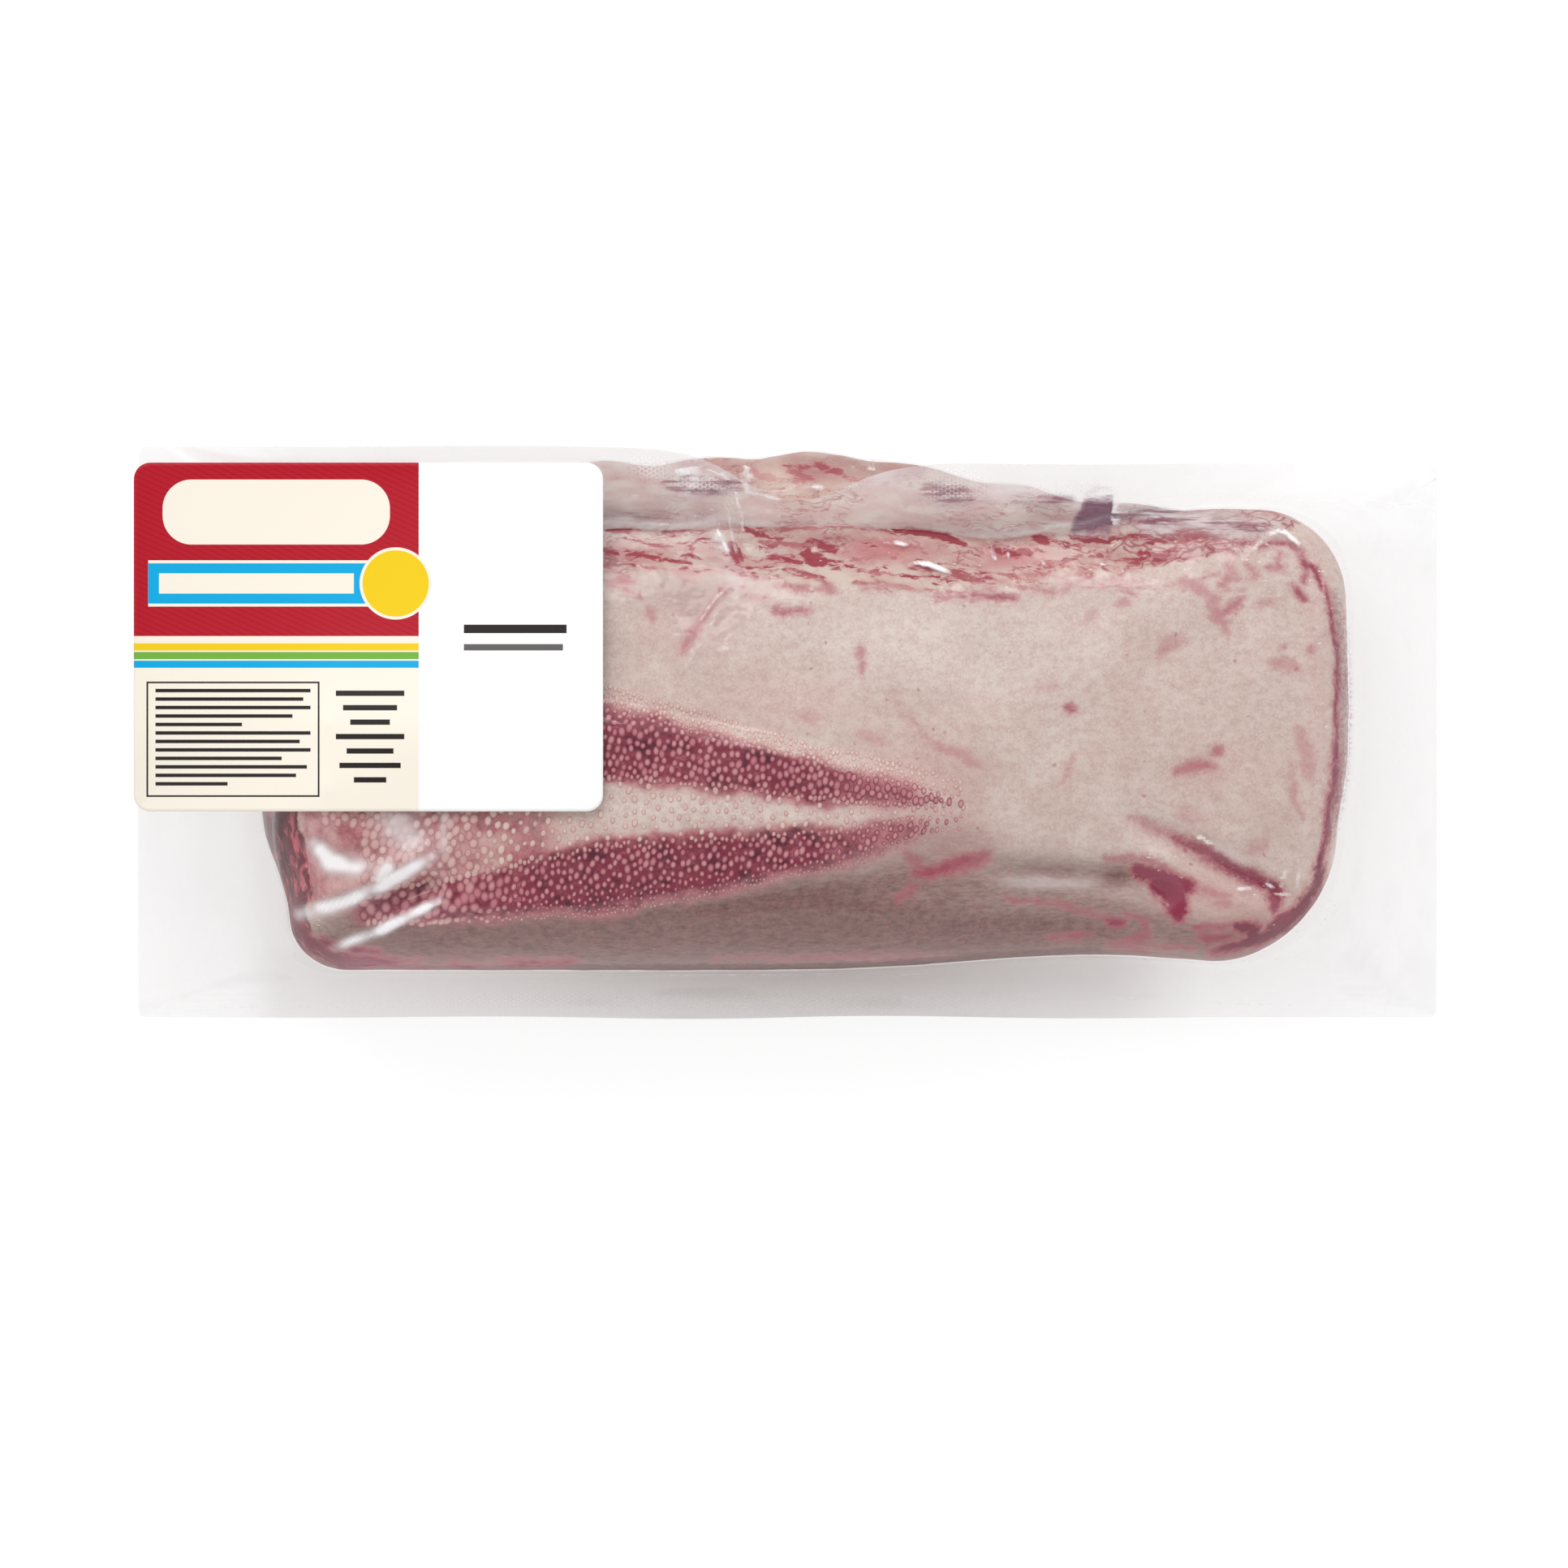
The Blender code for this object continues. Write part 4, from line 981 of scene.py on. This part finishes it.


# The film: a clear pouch drawn tight on the tongue, with a sealed margin all round. The margin
# is milky where two films meet, embossed by the sealing bar, and crumpled where the flank
# swells. It is the tongue's shell again, with rings out to the cut edge and back beneath.
# Painted highlights and glints whiten it in places, and a painted shadow darkens its margin's front.

POUCH_SIDES = (-179.4 * MM, 180.6 * MM, -79.4 * MM, 79.4 * MM)
POUCH_CORNERS = (2 * MM,) * 4
SEAM_BACK_SHARE, SEAM_LEFT_SHARE = 0.49, 0.55
EDGE_HEIGHT, EDGE_FRONT_HEIGHT = 4.5 * MM, 10 * MM
EDGE_LEFT_LIFT, EDGE_BACK_LIFT = 29 * MM, 33 * MM
DRAG_X, DRAG_REACH, DRAG_IN, DRAG_UP = 3 * MM, 21 * MM, 15 * MM, 6 * MM
BACK_EDGE_SHIFT, EDGE_WAVE, EDGE_WAVES = 4.8 * MM, 0.5 * MM, 55.0
FILM_CELLS = (310, 125)
FILM_UPPER_RINGS, FILM_MARGIN_RINGS, FILM_LOWER_RINGS = 26, 14, 8
FILM_OFF_MEAT, FILM_OFF_TABLE = 0.12 * MM, 0.05 * MM
FILM_HALF_THICKNESS = 0.12 * MM
HONEYCOMB_PITCH = 1.24 * MM
FILM_CLEAR, FILM_TINT_AND_SHADE = (0.985, 0.985, 0.985), (0.69, 0.66, 0.655)


def cut_edge(cells):
    """The pouch's cut edge, dragged in and up at the back where the flank swells most."""
    x, y = rounded_ring(*POUCH_SIDES, POUCH_CORNERS, cells).T
    at_back = past(y, 70, 6)
    in_front = past(-y, 70, 6)
    shift = BACK_EDGE_SHIFT * past(x, 0, 40)
    dragged = DRAG_IN * bell(x - DRAG_X, DRAG_REACH)
    wave = EDGE_WAVE * np.sin(x * EDGE_WAVES) * np.clip(1.0 - np.abs(x) / (170 * MM), 0.0, 1.0)
    y = y - at_back * (shift + dragged - wave) + in_front * (wave + EDGE_WAVE)
    along_back = past(x, -260, 120) * (1.0 - past(x, 40, 120))
    back = EDGE_BACK_LIFT * past(y, 10, 65) * along_back
    left = EDGE_LEFT_LIFT * past(-x, 120, 55) * past(y, -85, 90)
    front = (EDGE_FRONT_HEIGHT - EDGE_HEIGHT) * bell(x, 110 * MM) * past(-y, 50, 20)
    up = DRAG_UP * bell(x - DRAG_X, DRAG_REACH) * past(y, 30, 20)
    return np.column_stack([x, y, EDGE_HEIGHT + np.maximum(back, left) + front + up])


def seam_angles(cells):
    """Where the two films meet on the tongue's side, as an angle down it."""
    x, y = widest_ring(cells).T
    along_back = past(x, -150, 30) * (1.0 - past(x, 55, 65))
    at_left = past(-x, 120, 20) * past(y, -60, 60)
    back_drop = (1.0 - SEAM_BACK_SHARE) * past(y, 48, 14) * along_back
    return np.arcsin(1.0 - np.maximum(back_drop, (1.0 - SEAM_LEFT_SHARE) * at_left))


seam = seam_angles(FILM_CELLS)
at_seam, film_edge = wall_points(seam, FILM_CELLS), cut_edge(FILM_CELLS)
film_rings = []
# Down to the seam, spaced partly by turn and partly by how far out they lie
for share in np.linspace(0.0, 1.0, FILM_UPPER_RINGS + 1)[:-1]:
    film_rings.append(wall_points(0.35 * seam * share + 0.65 * np.arcsin(np.sin(seam) * share), FILM_CELLS))
out_shares = [0.0] * FILM_UPPER_RINGS
# Out along the margin's upper side and back along its lower side
margin_shares = np.concatenate([np.linspace(0.0, 1.0, FILM_MARGIN_RINGS)[:-1], [0.99, 1.0]])
for side in (1, -1):
    for share in margin_shares[::side]:
        line = at_seam + (film_edge - at_seam) * share
        line[:, 2] = at_seam[:, 2] + (film_edge[:, 2] - at_seam[:, 2]) * share**0.85
        film_rings.append(line + [0.0, 0.0, side * FILM_HALF_THICKNESS])
        out_shares.append(share)
for share in np.linspace(0.0, 1.0, FILM_LOWER_RINGS + 1)[1:]:
    film_rings.append(wall_points(seam + (math.pi - seam) * share, FILM_CELLS))
    out_shares.append(0.0)
film_base = np.concatenate(film_rings + [top_patch(FILM_CELLS)])
film_faces = shell_faces(len(film_rings), FILM_CELLS)
out_share = for_rings(out_shares, FILM_CELLS, len(film_base))
film_x, film_y, film_z = film_base.T
film_out = outward(film_base, film_faces)
# The margin's rings and the last two before them, which the margin's tint and its painted shadow take in
tinted_rings = [0.0] * (FILM_UPPER_RINGS - 2) + [1.0] * (2 * len(margin_shares) + 2)
on_margin = for_rings(tinted_rings, FILM_CELLS, len(film_base))
in_margin = eased(out_share / 0.12)
off_seam = eased((out_share - 0.05) / 0.14)

# Crumples and painted glints: x and y of each point along one and half its width, in millimetres, and how
# white it is. Their white is partly the film's folds and partly painted highlights
CRUMPLES_AND_GLINTS = (
    ((-33.9, 74.9, -30.3, 72.7, -24.4, 73.1, -17.4, 72, -12.9, 65.7), 0.35, 0.75),
    ((-11.1, 66.6, -1.5, 64.8, 16.3, 70.2, 27.1, 74), 0.35, 0.75),
    ((-15.6, 75.5, -6.6, 71.5, 2.1, 68.8, 11.1, 72, 25.3, 74.9), 0.3, 0.6),
    ((-50.3, 65.7, -15.6, 66.2), 0.2, 0.45),
    ((-41.5, 57.2, -28.9, 58.5, -21, 61.7, -13.8, 64.4), 0.25, 0.5),
    ((-15.6, 60.5, -15.2, 63.6, -13.6, 64.4, -12.2, 62, -11.8, 55), 0.25, 0.55),
    ((-15.4, 60.5, -14.6, 54, -12.4, 47), 0.25, 0.45),
    ((-19, 56.4, -16.6, 51.5, -14.8, 48.5), 0.45, 0.75),
    ((-15, 41, -19.5, 37, -23.5, 31), 0.3, 0.4),
    ((-18, 34.5, -26, 20.7, -31.5, 12.4), 0.25, 0.25),
    ((27.1, 53.1, 34.1, 52), 0.5, 0.9),
    ((35.4, 47, 40, 46.5, 45.8, 44.3), 0.55, 0.95),
    ((56.8, 52.4, 58.2, 47.9), 0.45, 0.9),
    ((61.8, 49.8, 61.6, 48.2), 0.5, 0.8),
    ((113.6, -28.4, 116.2, -29), 0.5, 0.8),
    ((116.4, -29.8, 118.6, -30.6), 0.4, 0.7),
    ((125, -43.6, 129.2, -43.2), 0.35, 0.8),
    ((133, -41.2, 135.4, -42.8), 0.45, 0.85),
    ((135.4, -44.6, 141, -45), 0.25, 0.7),
    ((139.4, -36, 137.4, -42.5), 0.5, 0.45),
    ((142.5, -38, 141.5, -43), 0.4, 0.4),
    ((130.2, 50.9, 133.8, 54.9, 137.8, 56, 141.4, 52.9, 143.4, 51.3), 0.5, 0.8),
    ((-126, -48.6, -116, -44.4), 0.6, 0.6),
    ((-117, -57, -106, -52), 0.45, 0.6),
    ((-176, -76, -20, -75.5, 60, -72.5, 150, -76), 0.2, 0.3),
    ((-60, -67.5, 40, -67), 0.2, 0.4),
)
crumple_depth, crumple_strength = stroke_field(film_x, film_y, CRUMPLES_AND_GLINTS)
crumple_ridge = crumple_strength * bell(np.minimum(crumple_depth, 0.0), 1.1)

covered = past(-film_x, 48, 3) * past(film_y, -24, 3)
lift = (
    0.10 * cloud(film_base, (5, 5, 5), 31)
    + in_margin * 0.45 * cloud(film_base, (14, 11, 14), 32)
    + in_margin * 0.25 * cloud(film_base, (5, 16, 12), 33) * past(np.abs(film_x), 145, 10)
    + in_margin * 0.35 * cloud(film_base, (26, 3.5, 12), 34) * past(-film_y, 60, 6)
    + in_margin * 0.45 * cloud(film_base, (6, 5, 8), 35) * past(film_y, 50, 8)
    + 0.35 * crumple_ridge
) * MM
lift = np.where(lift > 0.0, lift * (1.0 - covered), lift)
rise = FILM_OFF_MEAT * (1.0 - in_margin) + np.where(in_margin > 0.5, lift, np.maximum(lift, 0.0))
along = np.where(in_margin[:, None] > 0.0, [0.0, 0.0, 1.0], film_out)
film_points = film_base + along * rise[:, None]
film_points[:, 2] = np.maximum(film_points[:, 2], FILM_OFF_TABLE)

# How milky the film is
on_back = past(film_y, 50, 8)
back_haze = 0.07 + 0.12 * out_share + 0.08 * cloud(film_base, (14, 6, 10), 42)
back_haze = back_haze + 0.22 * past(film_x, 48, 14) * past(film_y, 61, 6)
back_haze = back_haze - 0.06 * bell(film_x - 8 * MM, 22 * MM)
back_haze = back_haze + blots(film_x, film_y, ((25, 72.5, 8, 3, 0.2),))
side_haze = 0.06 + 0.05 * cloud(film_base, (5, 30, 10), 41)
haze = off_seam * (on_back * back_haze + (1.0 - on_back) * side_haze)
haze = haze + (1.0 - in_margin) * 0.012
# Where the film stands off the meat it is painted white, partly as milkiness and partly as painted highlights
# of the light glaring on it. The rows are like those of the crumples
PAINTED_HIGHLIGHTS = (
    ((-134.5, -50.2, -122, -47, -112, -42.5, -98, -34.2), 1.7, 1),
    ((-125, -59.6, -112, -54.6, -96, -46.6), 1.2, 1),
    ((-130.5, -31, -126, -36, -115.5, -37), 2.3, 0.95),
    ((-110, -24, -101, -31), 5, 0.42),
    ((-113.5, -42, -109.5, -36), 2, 0.8),
    ((-95, -34, -94.5, -21), 1.5, 0.35),
    ((90.2, 64.6, 91.6, 57.6), 1.3, 0.75),
    ((96, 59, 118, 57.5, 136, 56.5), 3, 0.42),
    ((-19, 55.5, -16, 50.5), 1.6, 0.45),
    ((-16.5, 46, -13, 39.5), 2.6, 0.25),
    ((118, -31, 128, -36), 1.2, 0.3),
    ((60, -41, 86, -42), 1.6, 0.22),
)
for path, reach, strength in PAINTED_HIGHLIGHTS:
    away, run = off_path(film_x, film_y, path)
    soft_ends = 0.35 + 0.65 * eased(run / 0.15) * eased((1.0 - run) / 0.15)
    uneven_highlight = 0.8 + 0.5 * cloud(film_base, (5, 5, 5), 43)
    painted_highlight = np.clip(1.3 * strength * soft_ends * uneven_highlight * bell(away / MM, reach), 0.0, 0.88 * strength)
    haze = np.maximum(haze, painted_highlight * (film_z > 12 * MM))
# Where the sealing bar's honeycomb shows, as blots
EMBOSSED = (
    (-38, 73.2, 5, 2.2, 1), (-22, 69, 10, 2.2, 1), (16, 68.8, 5, 2.2, 0.7), (45, 67.5, 7, 3.4, 1),
    (80, 67.5, 9, 1.4, 0.8), (-20, -74.5, 60, 2.6, 0.4),
)
# Painted glints: small white specks where the film clings and creases finely, as blots
PAINTED_GLINTS = (
    (138, 46, 12, 9, 0.9), (134, -46, 14, 8, 0.9), (105, -36, 20, 5, 0.6), (40, 46, 45, 6, 0.7),
    (100, 48, 20, 7, 0.7), (150, 5, 4, 45, 0.6), (-125, -45, 12, 14, 0.8), (-15, 50, 7, 14, 0.7),
    (10, -62, 110, 3, 0.4),
)
# The margin's own greyish tint, less at the back and at both ends, and a painted shadow of the tongue on the
# margin's front, most of all next to the tongue's middle
in_front = past(-film_y, 58, 4)
shade = in_front * bell(film_x - 5 * MM, 90 * MM) * np.clip(1.0 + 0.05 * (film_y / MM + 68), 0.0, 1.0)
bright_end = 1.0 - 0.65 * past(film_x, 86, 36) - 0.6 * past(-film_x, 138, 14)
shade = on_margin * bright_end * (0.30 * (1.0 - 0.7 * on_back) + 0.70 * shade)
# Purge, the thin blood that gathers in the film's folds, as marks
PURGE = (
    ((80.5, 56.2, 84.5, 60.5, 86.5, 67), 2.3, 0.6),
    ((84, 55.6, 87, 62, 87.8, 68), 2.4, 0.6),
    ((88.6, 55, 88.6, 68), 1.5, 0.62),
    ((-33, 69.4, -22, 68.6, -13, 68.4), 1.6, 0.34),
    ((-50, 61, -33, 60.2), 0.8, 0.2),
    ((39, 67.4, 51, 65.4), 1.8, 0.28),
    ((64, 64.6, 79, 64.2), 0.6, 0.28),
    ((92, 60.4, 112, 59.4, 134, 57), 1.6, 0.22),
    ((96, 61, 118, 60), 0.35, 0.3),
    ((152.6, 39, 154.6, 28, 155.3, 12, 155.3, -2, 154.4, -14, 151.6, -28), 0.7, 0.48),
)
purge_depth, purge_strength = stroke_field(film_x, film_y, PURGE)
pleat_top = past(film_y, 64.5, 3) * past(film_x, 60, 10)
purge_fade = past(film_z, 12, 3) * (1.0 - 0.9 * pleat_top)

clear = Finish("clear_film")
film = mesh_piece("film", film_points, film_faces, clear.material)
keep_fields(
    film,
    haze=haze,
    emboss=in_margin * blots(film_x, film_y, EMBOSSED),
    crumple_depth=crumple_depth,
    crumple_strength=crumple_strength,
    glint=blots(film_x, film_y, PAINTED_GLINTS),
    in_margin=in_margin,
    shade=shade,
    purge_depth=purge_depth,
    purge_strength=purge_strength * purge_fade,
)

film_place = clear.node("ShaderNodeTexCoord").outputs["Object"]
axes = clear.node("ShaderNodeSeparateXYZ", {0: film_place})
# Three waves a third of a turn apart add up to a honeycomb
comb = 0.0
wave_rate = math.tau / (HONEYCOMB_PITCH * math.cos(math.pi / 6))
for turn in (0.0, math.tau / 6, math.tau / 3):
    wave = clear.times(axes.outputs["Y"], math.sin(turn) * wave_rate)
    wave = clear.scaled(axes.outputs["X"], math.cos(turn) * wave_rate, wave)
    comb = clear.plus(comb, clear.sums("COSINE", wave))
dots = clear.times(clear.between(comb, 0.4, -1.2), clear.field("emboss"))
# Whiteness from the film's milkiness, the emboss and the painted highlights
milky = clear.scaled(dots, 0.32, clear.field("haze"), clamp=True)
# The crumples' white lines, partly painted glints
crumple_edge = clear.plus(
    clear.field("crumple_depth"), clear.centred(clear.speckle(film_place, 300, 3.0, 0.7), 1.3)
)
crumple_and_glint_white = clear.times(clear.between(crumple_edge, -0.5, 0.4), clear.field("crumple_strength"))
crumple_and_glint_white = clear.times(crumple_and_glint_white, clear.between(clear.speckle(film_place, 190), 0.34, 0.5))
milky = clear.most(milky, crumple_and_glint_white)
# Painted glints, small white specks
glints = clear.between(clear.streaked(film_place, (1.9, 1.1, 1.4), 3.0, 0.6), 0.66, 0.72)
milky = clear.most(milky, clear.times(glints, clear.field("glint")))
purge_strong = clear.field("purge_strength")
purge_start = clear.scaled(purge_strong, 3.2, -3.4)
purge_streaks = clear.between(clear.streaked(film_place, (12, 1.3, 3), 4.0, 0.65), 0.38, 0.62)
purge_whole = clear.most(purge_streaks, clear.between(purge_strong, 0.45, 0.7))
purge_whole = clear.times(purge_whole, clear.scaled(dots, -0.7, 1.0))
purge = clear.times(clear.between(clear.field("purge_depth"), purge_start, 0.6), purge_strong)
purge = clear.times(purge, purge_whole)
milky = clear.most(milky, purge)
purge_ink = clear.mixed(clear.between(purge_strong, 0.5, 0.85), paint(140, 92, 116), paint(92, 60, 92))
film_colour = clear.mixed(clear.between(purge, 0.0, 0.2), paint(250, 249, 250), purge_ink)
fill(clear.tree, clear.shader, {"Base Color": film_colour, "Roughness": 0.5, "Specular IOR Level": 0.1})
film_height = clear.scaled(dots, 0.35, clear.speckle(film_place, 130))
film_bumps = {"Height": film_height, "Strength": 0.35, "Distance": 1.0 * MM}
film_bump = clear.node("ShaderNodeBump", film_bumps).outputs["Normal"]
# The see-through part, darkened by the margin's tint and the painted shadow
shaded = clear.mixed(clear.field("shade"), FILM_CLEAR, FILM_TINT_AND_SHADE)
see_through = clear.node("ShaderNodeBsdfTransparent", {"Color": shaded}).outputs[0]
glowing = clear.node("ShaderNodeBsdfTranslucent", {"Color": film_colour}).outputs[0]
glow_share = clear.times(clear.field("in_margin"), 0.45)
cloudy = clear.node("ShaderNodeMixShader", {0: glow_share, 1: clear.shader.outputs[0], 2: glowing}).outputs[0]
body = clear.node("ShaderNodeMixShader", {0: milky, 1: see_through, 2: cloudy}).outputs[0]
gloss_look = {"Color": WHITE_LIGHT, "Roughness": 0.09, "Normal": film_bump}
gloss = clear.node("ShaderNodeBsdfAnisotropic", gloss_look).outputs[0]
facing = clear.node("ShaderNodeLayerWeight", {"Blend": 0.5, "Normal": film_bump}).outputs["Facing"]
shine = clear.scaled(clear.sums("POWER", facing, 5.0), 0.4, 0.028)
film_skin = clear.node("ShaderNodeMixShader", {0: shine, 1: body, 2: gloss}).outputs[0]
fill(clear.tree, clear.tree.nodes["Material Output"], {"Surface": film_skin})
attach(film, "root")
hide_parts("pouch")


# The label: a thin printed sheet stuck flat on the film over the root, so that it bridges the
# pack's hollows. Its left part is red above and cream below, and its right part is white.

LABEL_ROUNDING = 4.6 * MM
LABEL_THICKNESS = 0.3 * MM
LABEL_GRID = (130, 96)
LABEL_MARGIN = 0.4 * MM  # how far inside its edge the label's height is read
HEIGHT_NOT_READ = 50 * MM  # where neither a place nor those around it could be read
EVENING_ROUNDS, EVENING_PRESS = 40, 0.01 * MM
PRINT_EDGE = 0.07  # millimetres over which one colour of the print turns into the next

label_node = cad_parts["label"]
label_search = BVHTree.FromPolygons(
    [v.co[:] for v in label_node.data.vertices], [tuple(p.vertices) for p in label_node.data.polygons]
)
left, right, low_side, high_side = LABEL_SIDES
left_read, right_read = left + LABEL_MARGIN, right - LABEL_MARGIN
low_read, high_read = low_side + LABEL_MARGIN, high_side - LABEL_MARGIN
u, v = np.meshgrid(np.linspace(0.0, 1.0, LABEL_GRID[0] + 1), np.linspace(0.0, 1.0, LABEL_GRID[1] + 1))
label_x, label_y = left + (right - left) * u, low_side + (high_side - low_side) * v
corner_x = np.clip(label_x, left + LABEL_ROUNDING, right - LABEL_ROUNDING)
corner_y = np.clip(label_y, low_side + LABEL_ROUNDING, high_side - LABEL_ROUNDING)
off_x, off_y = (label_x - corner_x) / LABEL_ROUNDING, (label_y - corner_y) / LABEL_ROUNDING
squeeze = np.maximum(np.abs(off_x), np.abs(off_y)) / np.maximum(np.hypot(off_x, off_y), 1e-9)
squeeze = np.where((off_x != 0.0) & (off_y != 0.0), squeeze, 1.0)
label_x, label_y = corner_x + off_x * LABEL_ROUNDING * squeeze, corner_y + off_y * LABEL_ROUNDING * squeeze

label_z = np.zeros(label_x.shape)
for at in np.ndindex(label_x.shape):
    x, y = np.clip(label_x[at], left_read, right_read), np.clip(label_y[at], low_read, high_read)
    hit = label_search.ray_cast(Vector((x, y, ABOVE_PACK)), DOWN)[0]
    label_z[at] = hit.z if hit else np.nan
while np.isnan(label_z).any():
    row, column = np.argwhere(np.isnan(label_z))[0]
    around = label_z[max(row - 1, 0) : row + 2, max(column - 1, 0) : column + 2]
    label_z[row, column] = np.nanmean(around) if not np.isnan(around).all() else HEIGHT_NOT_READ
# Evened out, without sinking into what it lies on
for _ in range(EVENING_ROUNDS):
    padded = np.pad(label_z, 1, mode="edge")
    neighbours = padded[:-2, 1:-1] + padded[2:, 1:-1] + padded[1:-1, :-2] + padded[1:-1, 2:]
    label_z = np.maximum(label_z - EVENING_PRESS, neighbours / 4)

grid_top = np.stack([label_x, label_y, label_z], axis=-1).reshape(-1, 3)
grid_size = len(grid_top)
columns = LABEL_GRID[0] + 1
corner = (np.arange(LABEL_GRID[1])[:, None] * columns + np.arange(LABEL_GRID[0])[None, :]).ravel()
upper_faces = np.stack([corner, corner + 1, corner + columns + 1, corner + columns], axis=1)
lower_faces = upper_faces[:, ::-1] + grid_size
rim = np.concatenate(
    [
        np.arange(columns),
        np.arange(1, LABEL_GRID[1] + 1) * columns + columns - 1,
        LABEL_GRID[1] * columns + np.arange(columns - 2, -1, -1),
        np.arange(LABEL_GRID[1] - 1, 0, -1) * columns,
    ]
)
next_rim = np.roll(rim, -1)
rim_faces = np.stack([rim, rim + grid_size, next_rim + grid_size, next_rim], axis=1)

sheet = Finish("label_print")
label_points = np.concatenate([grid_top, grid_top - [0.0, 0.0, LABEL_THICKNESS]])
label_faces = np.concatenate([upper_faces, lower_faces, rim_faces]).tolist()
label = mesh_piece("label_sheet", label_points, label_faces, sheet.material)
keep_fields(
    label,
    across=np.tile((label_x.ravel() - left) / MM, 2),
    upward=np.tile((label_y.ravel() - low_side) / MM, 2),
)
across, upward = sheet.field("across"), sheet.field("upward")


def outside(place, low, high):
    """How far a place on the print lies outside a span, in millimetres."""
    return sheet.minus(sheet.sums("ABSOLUTE", sheet.minus(place, (low + high) / 2)), (high - low) / 2)


def panel(sides, rounding=0):
    """1 inside a rectangle of the print and 0 outside. sides are its left, right, low and high side."""
    start, end, low, high = sides
    x_out = outside(across, start + rounding, end - rounding)
    y_out = outside(upward, low + rounding, high - rounding)
    if not rounding:
        return sheet.between(sheet.most(x_out, y_out), PRINT_EDGE, -PRINT_EDGE)
    corner = {0: sheet.most(x_out, 0.0), 1: sheet.most(y_out, 0.0), 2: 0.0}
    corner = sheet.node("ShaderNodeCombineXYZ", corner).outputs[0]
    away = sheet.node("ShaderNodeVectorMath", {0: corner}, operation="LENGTH").outputs["Value"]
    return sheet.between(away, rounding + PRINT_EDGE, rounding - PRINT_EDGE)


def print_panels(colour, rows):
    """Lays rectangles over a print. A row is the sides of one, how round its corners are, and its colour."""
    for sides, rounding, ink in rows:
        colour = sheet.mixed(panel(sides, rounding), colour, ink)
    return colour


WHITE, CREAM, RED = paint(247, 247, 247), paint(240, 232, 218), paint(178, 22, 40)
DARK_RED, BLUE = paint(160, 16, 34), paint(4, 164, 218)
YELLOW, GREEN = paint(234, 198, 16), paint(112, 172, 62)
INK, GREY_INK = paint(38, 32, 32), paint(95, 92, 92)
RED_FIELD, CREAM_FIELD = (-1, 79, 47.7, 98), (-1, 79, -1, 48)
colour = print_panels(WHITE, ((CREAM_FIELD, 0, CREAM), (RED_FIELD, 0, RED)))
# Fine straight lines, red on red
slope = sheet.scaled(across, 0.45, upward)
lines = sheet.between(sheet.sums("SINE", sheet.times(slope, math.tau / 1.6)), 0.3, 0.9)
lines = sheet.times(lines, panel(RED_FIELD))
colour = sheet.mixed(sheet.times(lines, 0.8), colour, DARK_RED)
colour = print_panels(
    colour,
    (
        ((8, 71, 74, 92), 8, CREAM),
        ((4, 79, 56.8, 69.6), 0, CREAM),
        ((4, 79, 57.6, 68.8), 0, BLUE),
        ((7, 61, 60.4, 66), 0, CREAM),
        ((62.6, 82.6, 53.2, 73.2), 10, CREAM),
        ((63.4, 81.8, 54, 72.4), 9.2, YELLOW),
        ((-1, 79, 47, 48.6), 0, CREAM),
        ((-1, 79, 44.6, 46.6), 0, YELLOW),
        ((-1, 79, 42.2, 44.2), 0, GREEN),
        ((-1, 79, 39.8, 41.8), 0, BLUE),
        ((3.5, 51.5, 4, 36), 0, INK),
        ((4, 51, 4.5, 35.5), 0, CREAM),
        ((91.5, 120, 49.4, 51.8), 0, INK),
        ((91.5, 119, 44.6, 46.4), 0, GREY_INK),
    ),
)
# Rows of plain bars
bars = []
for row, end in enumerate((49, 47, 49, 44, 30, 49, 46, 49, 41, 48, 45, 26)):
    bars.append(((6, end, 33 - 2.35 * row, 34 - 2.35 * row), 0, INK))
for row, (start, end) in enumerate(((56, 75), (58, 73), (60, 71), (56, 75), (59, 72), (57, 74), (61, 70))):
    bars.append(((start, end, 32 - 4 * row, 33.5 - 4 * row), 0, INK))
colour = print_panels(colour, bars)
fill(sheet.tree, sheet.shader, {"Base Color": colour, "Roughness": 0.45, "Specular IOR Level": 0.2})
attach(label, "root")
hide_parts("label")
